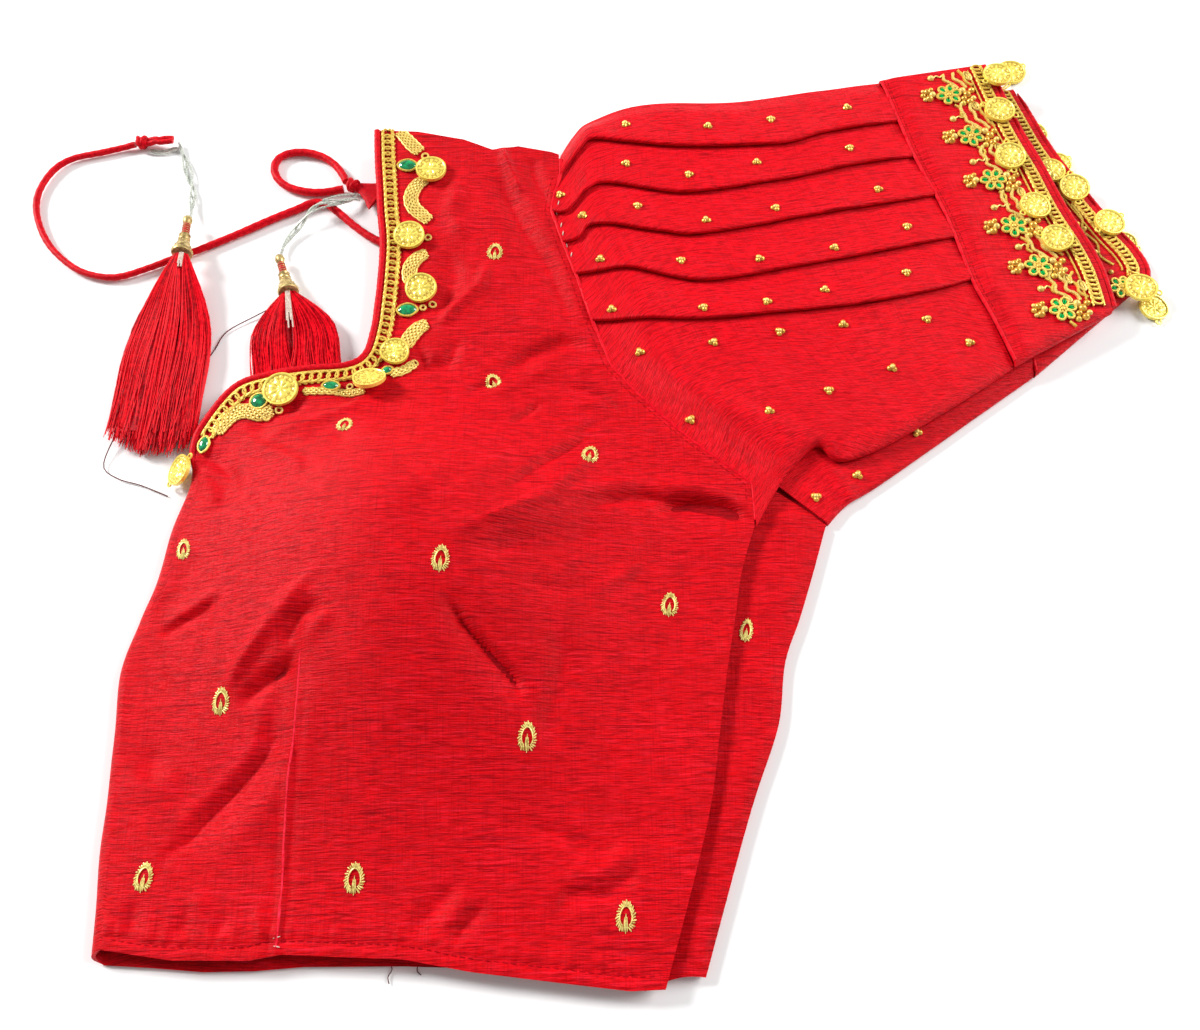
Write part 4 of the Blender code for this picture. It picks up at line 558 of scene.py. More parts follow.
def front_height(x, y):
    """Outer surface of the top cloth with its large folds."""
    rise = SHOULDER_RISE * smooth((y - SHOULDER_RISE_FROM) / SHOULDER_RISE_OVER)
    across = (x - NECK_RISE_AT[0]) / NECK_RISE_REACH[0]
    upward = (y - NECK_RISE_AT[1]) / NECK_RISE_REACH[1]
    neck = NECK_RISE * math.exp(-across ** 2 - upward ** 2)
    return EDGE_HEIGHT + rise + neck + bust(x, y) + crease_sum(CREASES, x, y)


def dart_height(x, y):
    """The dart's own ridge, with a hollow on both sides of it."""
    if y > DART_END or abs(x - DART_X) > DART_REACH:
        return 0.0
    near = DART_REACH
    for a, b in zip(DART, DART[1:]):
        if y <= b[1] or b == DART[-1]:
            near = abs(x - mix(a, b, (y - a[1]) / (b[1] - a[1]))[0])
            break
    return DART_RIDGE * smooth((DART_END - y) / 30) * (bump(near, 0.8) - 0.45 * bump(near - 2.4, 1.4))


def cloth_height(x, y, to_hem):
    """Outer surface of the top cloth with all of its fine creases."""
    z = front_height(x, y) + crease_sum(PULLS, x, y, 3.4, 0.06) * PULL_STRENGTH
    z += 0.22 * ripple(x, y) + dart_height(x, y)
    pucker = 0.5 + 0.5 * math.sin(x * 2 * math.pi / PUCKER + 1.6 * math.sin(x * 0.13))
    from_stitches = to_hem - HEM_GROOVE
    z -= 0.8 * bump(from_stitches, 0.9) * (0.6 + 0.4 * pucker)
    z += 0.95 * bump(from_stitches - 3.0, 2.4) * pucker * (0.6 + 0.4 * math.sin(x * 0.31))
    z += 0.3 * bump(from_stitches + 2.4, 1.4)
    return z


def row_point(t, first):
    """Point of a body line at row t; first is the column of the line's x in BODY_ROWS."""
    if first in (5, 7) and t >= UNDERARM:
        i = min(int(t), len(BODY_ROWS) - 2)
        return mix(BODY_ROWS[i][first:first + 2], BODY_ROWS[i + 1][first:first + 2], t - i)
    stop = UNDERARM + 1 if first in (5, 7) else len(BODY_ROWS)
    return catmull([row[first:first + 2] for row in BODY_ROWS[:stop]], t)


def row_steps(pitch):
    """Row numbers, with steps between the rows so that none is longer than about the pitch."""
    steps = [0.0]
    for i, (a, b) in enumerate(zip(BODY_ROWS, BODY_ROWS[1:])):
        span = max(math.dist(a[1:3], b[1:3]), math.dist(a[5:7], b[5:7]))
        count = max(1, round(span / pitch))
        steps += [i + k / count for k in range(1, count + 1)]
    return steps


def inward(t, first):
    """Direction from a body line into the cloth."""
    before = row_point(max(t - 0.15, 0.0), first)
    after = row_point(min(t + 0.15, len(BODY_ROWS) - 1.0), first)
    nx, ny = left_normal(before, after)
    return (-nx, -ny) if first in (1, 3) else (nx, ny)


def fold_radius(t):
    """Radius of the centre-front fold at row t."""
    edge = row_point(t, 1)
    return front_height(edge[0] + 4.0, edge[1]) / 2


def panel_point(u, t, left, right, hem=HEM_EDGE):
    """Point between two side lines, bowed near the hem and the shoulder as their edges are."""
    x, y = mix(left, right, u)
    to_shoulder = len(BODY_ROWS) - 1 - t
    for rows_away, edge in ((t, hem), (to_shoulder, SHOULDER_EDGE)):
        weight = max(0.0, 1 - rows_away / 3) ** 2
        if weight:
            bow = along(edge, u)
            chord = mix(edge[0], edge[-1], u)
            x += weight * (bow[0] - chord[0])
            y += weight * (bow[1] - chord[1])
    return (x, y)


# ---- meshes ----------------------------------------------------------------------------------------

def finish_piece(mesh, name, finish, nodes, smooth_angle=50.0):
    """Makes an object of a mesh, with its finish, its body and the nodes it stands for."""
    work = bmesh.new()
    work.from_mesh(mesh)
    bmesh.ops.recalc_face_normals(work, faces=work.faces)
    work.to_mesh(mesh)
    work.free()
    for one in finish if isinstance(finish, (list, tuple)) else [finish]:
        mesh.materials.append(one)
    mesh.shade_smooth()
    mesh.set_sharp_from_angle(angle=math.radians(smooth_angle))
    item = bpy.data.objects.new(name, mesh)
    bpy.context.scene.collection.objects.link(item)
    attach(item, "root")
    if nodes:
        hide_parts(*nodes)
    return item


def mesh_of(name, points, faces, weave, slots=None):
    """A mesh of points in the lay frame, with a weave mark for each and a slot for each face."""
    mesh = bpy.data.meshes.new(name)
    mesh.from_pydata([place(*p) for p in points], [], faces)
    if weave:
        layer = mesh.uv_layers.new(name="weave")
        flat = []
        for loop in mesh.loops:
            flat += weave[loop.vertex_index]
        layer.data.foreach_set("uv", flat)
    if slots:
        mesh.polygons.foreach_set("material_index", slots)
    mesh.update()
    return mesh


def add_row(grids, row):
    """Adds a row of outer points, inner points and weave marks to the three grids of a wall."""
    for grid, values in zip(grids, zip(*row)):
        grid.append(values)


def wall_mesh(name, outer, inner, weave, wrap):
    """A closed cloth wall from rows of outer and inner points, where None leaves a slit."""
    rows = len(outer)
    cols = len(outer[0])
    index = {}
    points = []
    marks = []
    for side, grid in enumerate((outer, inner)):
        for i in range(rows):
            for j in range(cols):
                if grid[i][j] is not None:
                    index[side, i, j] = len(points)
                    points.append(grid[i][j])
                    marks.append(weave[i][j])
    faces = []
    edges = {}
    for i in range(rows - 1):
        for j in range(cols if wrap else cols - 1):
            ring = [(i, j), (i, (j + 1) % cols), (i + 1, (j + 1) % cols), (i + 1, j)]
            if any((0, *c) not in index for c in ring):
                continue
            faces.append([index[(0, *c)] for c in ring])
            faces.append([index[(1, *c)] for c in reversed(ring)])
            edges.update(dict.fromkeys(zip(ring, ring[1:] + ring[:1])))
    for a, b in edges:
        if (b, a) not in edges:
            faces.append([index[(0, *b)], index[(0, *a)], index[(1, *a)], index[(1, *b)]])
    return mesh_of(name, points, faces, marks)


class Pile:
    """Points and faces of many small things that end up in one mesh."""

    def __init__(self):
        self.points = []
        self.faces = []
        self.slots = []

    def add(self, points, faces, slot=0):
        """Adds one body; slot is a number, or a list with one for each face."""
        base = len(self.points)
        self.points += points
        self.faces += [tuple(base + k for k in face) for face in faces]
        self.slots += slot if isinstance(slot, list) else [slot] * len(faces)

    def made(self, name, finish, nodes, slot, angle=50.0):
        mesh = mesh_of(name, self.points, self.faces, None, self.slots)
        return finish_piece(mesh, name, finish, nodes, angle)


def frames_along(path, up=(0, 0, 1)):
    """Point, side and up vectors at each point of a path."""
    made = []
    for k, spot in enumerate(path):
        before = Vector(path[max(k - 1, 0)])
        after = Vector(path[min(k + 1, len(path) - 1)])
        way = (after - before).normalized()
        side = Vector(up).cross(way)
        if side.length < 1e-6:
            side = Vector((1, 0, 0)).cross(way)
        side.normalize()
        made.append((Vector(spot), side, way.cross(side), way))
    return made


def tube_faces(rings, sides, closed=False):
    """Faces between rings of points, with the two ends last unless the rings meet."""
    faces = []
    for k in range(rings if closed else rings - 1):
        n = (k + 1) % rings
        for s in range(sides):
            t = (s + 1) % sides
            faces.append((k * sides + s, k * sides + t, n * sides + t, n * sides + s))
    if not closed:
        faces.append(tuple(reversed(range(sides))))
        faces.append(tuple((rings - 1) * sides + s for s in range(sides)))
    return faces


def tube(pile, path, radius, sides, slot=0, up=(0, 0, 1), closed=False):
    """A tube along a path, its radius a number or a function of the point's number and angle."""
    frames = frames_along(path, up)
    if closed:
        count = len(path)
        frames = []
        for k in range(count):
            way = (Vector(path[(k + 1) % count]) - Vector(path[k - 1])).normalized()
            side = Vector(up).cross(way).normalized()
            frames.append((Vector(path[k]), side, way.cross(side), way))
    points = []
    for k, (spot, side, high, _) in enumerate(frames):
        for angle in circle(sides):
            r = radius(k, angle) if callable(radius) else radius
            points.append(tuple(spot + side * r * math.cos(angle) + high * r * math.sin(angle)))
    pile.add(points, tube_faces(len(path), sides, closed), slot)


def corded(radius, depth=0.22, rate=2.0, turns=2):
    """Radius of a tube that looks twisted: depth is the share that it swells and shrinks by."""
    return lambda k, angle: radius * (1 + depth * math.sin(rate * k + turns * angle))


def turned_faces(rings, sides):
    """Faces of a turned body: its first point, rings of points and its last point."""
    faces = []
    for k in range(sides):
        n = (k + 1) % sides
        faces.append((0, 1 + n, 1 + k))
        for r in range(rings - 1):
            a = 1 + r * sides
            b = a + sides
            faces.append((a + k, a + n, b + n, b + k))
        top = 1 + (rings - 1) * sides
        faces.append((top + k, top + n, top + sides))
    return faces


def lathe(pile, profile, centre, u, v, w, sides, slot=0, swell=None):
    """A turned body; profile gives radius, height pairs from bottom centre to top centre."""
    points = [tuple(centre + w * profile[0][1])]
    for radius, height in profile[1:-1]:
        for angle in circle(sides):
            r = radius * (swell(angle) if swell else 1.0)
            points.append(tuple(centre + u * r * math.cos(angle) + v * r * math.sin(angle) + w * height))
    points.append(tuple(centre + w * profile[-1][1]))
    pile.add(points, turned_faces(len(profile) - 2, sides), slot)


def dome(pile, centre, u, v, w, radius, height):
    """A small round grain."""
    profile = ((0, 0), (radius, 0), (radius * 0.98, height * 0.3), (radius * 0.62, height * 0.8),
               (0, height))
    lathe(pile, profile, centre, u, v, w, 6)


def stitch(pile, start, stop, width, height, slot=0):
    """One thread lying on cloth: a low rounded bar with pinched ends."""
    start = Vector(start)
    way = Vector(stop) - start
    side = Vector((-way.y, way.x, 0)).normalized() * width / 2
    lift = Vector((0, 0, height))
    shape = ((0.0, 0.45), (0.3, 1.0), (0.7, 1.0), (1.0, 0.45))
    points = []
    for share, wide in shape:
        middle = start + way * share
        points += [tuple(middle - side * wide), tuple(middle - side * wide * 0.5 + lift * wide),
                   tuple(middle + side * wide * 0.5 + lift * wide), tuple(middle + side * wide)]
    pile.add(points, tube_faces(len(shape), 4), slot)


def surface(item, beside=8.0):
    """Height and normal of a piece's own surface, seen from above, in millimetres."""
    tree = BVHTree.FromObject(item, bpy.context.evaluated_depsgraph_get())

    def look(x, y, fallback=beside):
        spot, normal, _, _ = tree.ray_cast(place(x, y, 200), Vector((0, 0, -1)))
        if spot is None:
            return fallback, Vector((0, 0, 1))
        if normal.z < 0:
            normal = -normal
        return spot.z / MM, normal

    return look


def laid(look, x, y, lift):
    """A place of a surface, raised by lift."""
    return (x, y, look(x, y)[0] + lift)


def laid_frame(look, x, y, lift, flat=0.0):
    """Centre and axes of something lying on a surface; flat is the share it keeps level."""
    z, _ = look(x, y)
    step = 3.0
    steepest = 0.6
    gx = (look(x + step, y, z)[0] - look(x - step, y, z)[0]) / (2 * step) * (1 - flat)
    gy = (look(x, y + step, z)[0] - look(x, y - step, z)[0]) / (2 * step) * (1 - flat)
    gx = max(min(gx, steepest), -steepest)
    gy = max(min(gy, steepest), -steepest)
    w = Vector((-gx, -gy, 1)).normalized()
    u = Vector((1, 0, gx)).normalized()
    return Vector((x, y, z)) + w * lift, u, w.cross(u), w


# ---- materials -------------------------------------------------------------------------------------

def blank(name, roughness, metallic, specular):
    """A material with its tree and its shader."""
    made = bpy.data.materials.new(name)
    made.use_nodes = True
    tree = made.node_tree
    shader = tree.nodes["Principled BSDF"]
    shader.inputs["Roughness"].default_value = roughness
    shader.inputs["Metallic"].default_value = metallic
    shader.inputs["Specular IOR Level"].default_value = specular
    return made, tree, shader


def noise(tree, vector, scale, detail=2.0, rough=0.5):
    """A cloudy pattern."""
    made = tree.nodes.new("ShaderNodeTexNoise")
    made.inputs["Scale"].default_value = scale
    made.inputs["Detail"].default_value = detail
    made.inputs["Roughness"].default_value = rough
    tree.links.new(vector, made.inputs["Vector"])
    return made.outputs["Fac"]


def stretched(tree, vector, scale, shift):
    """A vector scaled and shifted."""
    made = tree.nodes.new("ShaderNodeMapping")
    made.inputs["Scale"].default_value = scale
    made.inputs["Location"].default_value = shift
    tree.links.new(vector, made.inputs["Vector"])
    return made.outputs["Vector"]


def ranged(tree, value, low, high, to_low=0.0, to_high=1.0):
    """A value moved from one range to another and kept inside it."""
    made = tree.nodes.new("ShaderNodeMapRange")
    for name, number in (("From Min", low), ("From Max", high), ("To Min", to_low), ("To Max", to_high)):
        made.inputs[name].default_value = number
    tree.links.new(value, made.inputs["Value"])
    return made.outputs["Result"]


def blended(tree, factor, a, b):
    """Mixes two colours; a and b are colours or sockets."""
    made = tree.nodes.new("ShaderNodeMix")
    made.data_type = "RGBA"
    tree.links.new(factor, made.inputs["Factor"])
    for socket, value in ((made.inputs[6], a), (made.inputs[7], b)):
        if isinstance(value, tuple):
            socket.default_value = (*value, 1.0)
        else:
            tree.links.new(value, socket)
    return made.outputs[2]


def bumped(tree, shader, height, strength, distance):
    """Gives a shader the relief of a pattern."""
    made = tree.nodes.new("ShaderNodeBump")
    made.inputs["Strength"].default_value = strength
    made.inputs["Distance"].default_value = distance
    tree.links.new(height, made.inputs["Height"])
    tree.links.new(made.outputs["Normal"], shader.inputs["Normal"])


def added(tree, a, b, weight):
    """a + b * weight."""
    made = tree.nodes.new("ShaderNodeMath")
    made.operation = "MULTIPLY_ADD"
    made.inputs[1].default_value = weight
    tree.links.new(b, made.inputs[0])
    tree.links.new(a, made.inputs[2])
    return made.outputs[0]


def shaded(colour, share):
    """A colour at a share of its brightness."""
    return tuple(c * share for c in colour)


def slub_silk(name, base, dark, pale, sheen, slubs=1.0):
    """Slub cotton silk: fine weft ribs, long dark and pale slubs, faint warp and cloudy shade."""
    made, tree, shader = blank(name, 0.47, 0.0, 0.24)
    shader.inputs["Specular Tint"].default_value = (1.0, 0.24, 0.26, 1.0)
    marks = tree.nodes.new("ShaderNodeUVMap")
    marks.uv_map = "weave"

    def threads(across, along_it, shift, detail, rough):
        return noise(tree, stretched(tree, marks.outputs["UV"], (across, along_it, 1), (*shift, 0)),
                     1.0, detail, rough)

    weft = threads(0.12, 1.45, (0, 0), 3.0, 0.7)
    rib = threads(0.16, 2.6, (7, 3), 2.0, 0.5)
    slub = threads(0.024, 0.75, (31, 5), 4.0, 0.75)
    light = threads(0.03, 0.95, (57, 11), 4.0, 0.75)
    warp = threads(1.6, 0.06, (3, 17), 2.0, 0.5)
    cloud = threads(0.035, 0.05, (9, 2), 2.0, 0.5)
    colour = blended(tree, ranged(tree, weft, 0.42, 0.55), shaded(base, 0.52), base)
    layers = ((rib, 0.45, 0.70, 0.5, pale), (slub, 0.56, 0.64, 0.95 * slubs, dark),
              (light, 0.56, 0.68, 0.8 * slubs, pale), (warp, 0.48, 0.75, 0.4, dark),
              (cloud, 0.35, 0.7, 0.28, shaded(base, 0.72)))
    for pattern, low, high, weight, tone in layers:
        colour = blended(tree, ranged(tree, pattern, low, high, 0.0, weight), colour, tone)
    tree.links.new(colour, shader.inputs["Base Color"])
    height = weft
    for pattern, weight in ((rib, 0.6), (slub, 0.5), (warp, 0.25)):
        height = added(tree, height, pattern, weight)
    bumped(tree, shader, height, 0.7, 0.0006)
    shader.inputs["Sheen Weight"].default_value = sheen
    shader.inputs["Sheen Roughness"].default_value = 0.45
    shader.inputs["Sheen Tint"].default_value = (1.0, 0.22, 0.30, 1.0)
    return made


def object_point(tree):
    """The place of a shaded point on its own object."""
    return tree.nodes.new("ShaderNodeTexCoord").outputs["Object"]


def metal(name, base, dark, roughness, metallic, grain):
    """Metal or metallic thread with darker hollows and fine unevenness."""
    made, tree, shader = blank(name, roughness, metallic, 0.6)
    point = object_point(tree)
    fine = noise(tree, point, grain, 3.0, 0.6)
    broad = noise(tree, point, grain / 6, 2.0, 0.5)
    bright = tuple(min(c * 1.25, 1.0) for c in base)
    colour = blended(tree, ranged(tree, fine, 0.35, 0.62), dark, base)
    colour = blended(tree, ranged(tree, broad, 0.4, 0.75, 0.0, 0.35), colour, bright)
    tree.links.new(colour, shader.inputs["Base Color"])
    rough = ranged(tree, fine, 0.3, 0.7, roughness + 0.12, roughness - 0.08)
    tree.links.new(rough, shader.inputs["Roughness"])
    bumped(tree, shader, fine, 0.35, 0.00012)
    return made


def glassy(name, base, deep):
    """Coated glass with a cloudy tone."""
    made, tree, shader = blank(name, 0.12, 0.0, 0.7)
    tone = noise(tree, object_point(tree), 500.0, 2.0, 0.5)
    tree.links.new(blended(tree, ranged(tree, tone, 0.35, 0.65), deep, base), shader.inputs["Base Color"])
    shader.inputs["Coat Weight"].default_value = 0.6
    shader.inputs["Coat Roughness"].default_value = 0.05
    return made


def thread_cloth(name, base, dark, roughness, sheen, grain=1400.0, depth=0.0001):
    """Threads, cords and piping: a fine uneven grain over one colour."""
    made, tree, shader = blank(name, roughness, 0.0, 0.2)
    shader.inputs["Specular Tint"].default_value = (*mix(base, (1, 1, 1), 0.35), 1.0)
    point = object_point(tree)
    fine = noise(tree, point, grain, 3.0, 0.6)
    broad = noise(tree, point, grain / 12, 2.0, 0.5)
    colour = blended(tree, ranged(tree, fine, 0.35, 0.65), dark, base)
    colour = blended(tree, ranged(tree, broad, 0.45, 0.75, 0.0, 0.4), colour, dark)
    tree.links.new(colour, shader.inputs["Base Color"])
    bumped(tree, shader, fine, 0.4, depth)
    shader.inputs["Sheen Weight"].default_value = sheen
    shader.inputs["Sheen Roughness"].default_value = 0.4
    return made


# ---- camera, light and table -----------------------------------------------------------------------

def linked(name, data):
    """An object of some data, put in the scene."""
    item = bpy.data.objects.new(name, data)
    bpy.context.scene.collection.objects.link(item)
    return item


def set_camera():
    """The camera over the table."""
    lens = bpy.data.cameras.new("camera")
    lens.lens = LENS
    lens.sensor_width = 36.0
    lens.clip_start = 0.01
    camera = linked("camera", lens)
    camera.location = place(*CAMERA_AT)
    camera.rotation_euler = (math.radians(CAMERA_TILT), 0.0, 0.0)
    bpy.context.scene.camera = camera


def set_lights():
    """White sky, and two round lamps."""
    world = bpy.data.worlds.new("studio")
    world.use_nodes = True
    sky = world.node_tree.nodes["Background"]
    sky.inputs["Color"].default_value = SKY
    sky.inputs["Strength"].default_value = SKY_STRENGTH
    bpy.context.scene.world = world
    bpy.context.scene.view_settings.view_transform = "Standard"
    for name, spot, size, power in LAMPS:
        light = bpy.data.lights.new(name, "AREA")
        light.shape = "DISK"
        light.size = size
        light.energy = power
        lamp = linked(name, light)
        lamp.location = place(*spot)
        aim = place(*LAMPS_AIM) - lamp.location
        lamp.rotation_euler = aim.to_track_quat("-Z", "Y").to_euler()


def set_table():
    """A white table under the blouse, as its stage."""
    mesh = bpy.data.meshes.new("table")
    r = TABLE_HALF
    mesh.from_pydata([(-r, -r, 0), (r, -r, 0), (r, r, 0), (-r, r, 0)], [], [(0, 1, 2, 3)])
    made, tree, shader = blank("white table", 0.85, 0.0, 0.1)
    tone = noise(tree, object_point(tree), 3.0)
    tree.links.new(blended(tree, tone, (0.94, 0.94, 0.94), (0.97, 0.97, 0.97)), shader.inputs["Base Color"])
    mesh.materials.append(made)
    table = linked("table", mesh)
    table.location.z = TABLE_TOP


# ---- ties, caps and tassels ------------------------------------------------------------------------


def cloth_cord(name, route, diameter, finish, node):
    """A tie of rolled bias cloth, a little uneven, with fine slanting wrinkles."""
    path = [(x, y, max(z, diameter / 2 + 0.05)) for x, y, z in evenly(route, 1.3)]
    r = diameter / 2

    def radius(k, angle):
        # the tie thins from x 30 to x -30
        slack = 0.93 - 0.17 * smooth((30 - path[k][0]) / 60)
        return r * slack * (1 + 0.045 * math.sin(1.9 * k + angle) + 0.02 * math.sin(0.37 * k))

    pile = Pile()
    tube(pile, path, radius, 12)
    item = pile.made(name, finish, [node], "red_cloth")


def twisted_thread(name, route, diameter, finish, node):
    """Silver thread doubled back on itself: strands that lie apart, cross and meet at both ends."""
    spots = evenly(route, 0.8)
    frames = frames_along(spots)
    last = len(frames) - 1
    pile = Pile()
    for phase, turns, wide in ((0.0, 1.5, 1.5), (2.3, 2.5, 1.0), (4.2, 1.0, 2.0), (1.2, 3.5, 0.6)):
        path = []
        for k, (spot, side, high, _) in enumerate(frames):
            share = k / last
            angle = phase + turns * 2 * math.pi * share
            apart = wide * math.sin(math.pi * share) ** 0.6 * math.cos(angle)
            path.append(tuple(spot + side * apart + high * 0.5 * math.sin(angle)))
        tube(pile, path, corded(diameter * 0.23, 0.16, 2.9), 6)
    item = pile.made(name, finish, [node], "silver_thread")


def wires(name, routes, pitch, radius, sides, finish, slot):
    """Thin wires or threads along some routes, as one piece."""
    pile = Pile()
    for route in routes:
        tube(pile, evenly(route, pitch), radius, sides)
    pile.made(name, finish, (), slot)


def axes_between(start, stop):
    """Axes of a body from start to stop, with w along it."""
    w = (Vector(stop) - Vector(start)).normalized()
    u = w.cross(Vector((0, 0, 1))).normalized()
    return u, w.cross(u), w


def wrapped_knot(name, place_of, finish, node, tail):
    """The tie's end, turned over itself twice into a small hard knot, with its doubled end behind."""
    pile = Pile()
    centre = Vector(place_of[0])
    u, v, w = axes_between(*place_of)
    core = ((0, -3.0), (1.5, -2.7), (2.4, -1.5), (2.6, 0), (2.4, 1.4), (1.7, 2.5), (0, 2.9))
    lathe(pile, core, centre, u, v, w, 16)
    for shift, lean in ((-1.2, 0.6), (1.0, -0.7)):
        ring = [tuple(centre + u * 2.5 * math.cos(angle) + v * 2.2 * math.sin(angle)
                      + w * (shift + lean * math.cos(angle))) for angle in circle(20)]
        tube(pile, ring, 0.95, 8, up=tuple(w), closed=True)
    for side in (-1, 1) if tail else ():
        path = [tuple(centre + w * (2.0 + 1.3 * k) + u * side * (0.95 + 0.25 * math.sin(1.1 * k + side))
                      - v * 0.9 * min(k / 4, 1)) for k in range(11)]
        tube(pile, path, corded(1.25, 0.08, 2, 1), 8)
    return pile.made(name, finish, [node], "red_cloth")


def hull_faces(rings, sides):
    """Faces of a closed body of rings of points, its two ends first."""
    *walls, first, last = tube_faces(rings, sides)
    return [first[::-1], last[::-1], *walls]


def tie_root(finish):
    """Crushed cloth that fans out from the second tie's knot to the strap, in two pleats."""
    path = softened(TIE_ROOT, 5)
    sides = 24
    points = []
    for k, (x, y, width) in enumerate(path):
        normal = left_normal(path[max(k - 1, 0)], path[min(k + 1, len(path) - 1)])
        for angle in circle(sides):
            a = math.cos(angle)
            fold = 1 - 0.42 * bump(a - 0.12, 0.2) - 0.2 * bump(a + 0.6, 0.16)
            px, py = shifted((x, y), normal, a * width / 2)
            points.append((px, py, TIE_ROOT_HEIGHT + math.sin(angle) * TIE_ROOT_HEIGHT / 2 * fold))
    pile = Pile()
    pile.add(points, hull_faces(len(path), sides))
    pile.made("tie_root_cloth", finish, ["tie_root_2"], "red_cloth")


def tassel_cap(name, start, stop, metal_finish, wrap_finish, node):
    """Gold bead, red thread wrap, ring and a flared cone with rows of grains."""
    u, v, w = axes_between(start, stop)
    base = Vector(start)
    pile = Pile()

    def fluted(angle):
        return 1 + 0.05 * math.cos(8 * angle)

    # profiles: radius, height from the bead's end
    head = ((0, 0), (0.9, 0.1), (1.8, 1.0), (2.2, 2.6), (1.8, 4.2), (1.0, 5.4), (0, 5.5))
    wrap = ((0, 5.2), (1.5, 5.3), (1.8, 6.0), (1.5, 6.8), (1.8, 7.6), (1.5, 8.4), (1.8, 9.2), (1.5, 10.0),
            (1.8, 10.8), (1.4, 11.8), (0, 12.0))
    collar = ((0, 11.6), (2.1, 11.7), (2.6, 12.4), (2.1, 13.2), (2.4, 13.8), (2.7, 14.6), (2.3, 15.4),
              (0, 15.6))
    cone = ((0, 15.0), (2.1, 15.1), (2.5, 16.4), (3.0, 18.0), (3.7, 19.8), (4.3, 21.6), (4.6, 22.6),
            (4.7, 23.1), (4.4, 23.6), (3.6, 23.0), (0, 22.6))
    lathe(pile, head, base, u, v, w, 16, 0, fluted)
    lathe(pile, wrap, base, u, v, w, 14, 1)
    for k in range(5):
        ring_loop(pile, base + w * (6.4 + 1.3 * k), u, v, w, 1.62, 0.22, 14)
    lathe(pile, collar, base, u, v, w, 16)
    lathe(pile, cone, base, u, v, w, 24)
    for count, radius, height, size in ((14, 2.55, 16.5, 0.42), (16, 3.6, 19.4, 0.46), (22, 4.5, 22.4, 0.5)):
        for angle in circle(count):
            out = (u * math.cos(angle) + v * math.sin(angle))
            dome(pile, base + out * radius * 0.96 + w * height, w, out.cross(w), out, size, size * 0.9)
    return pile.made(name, [metal_finish, wrap_finish], [node], "coin_gold")


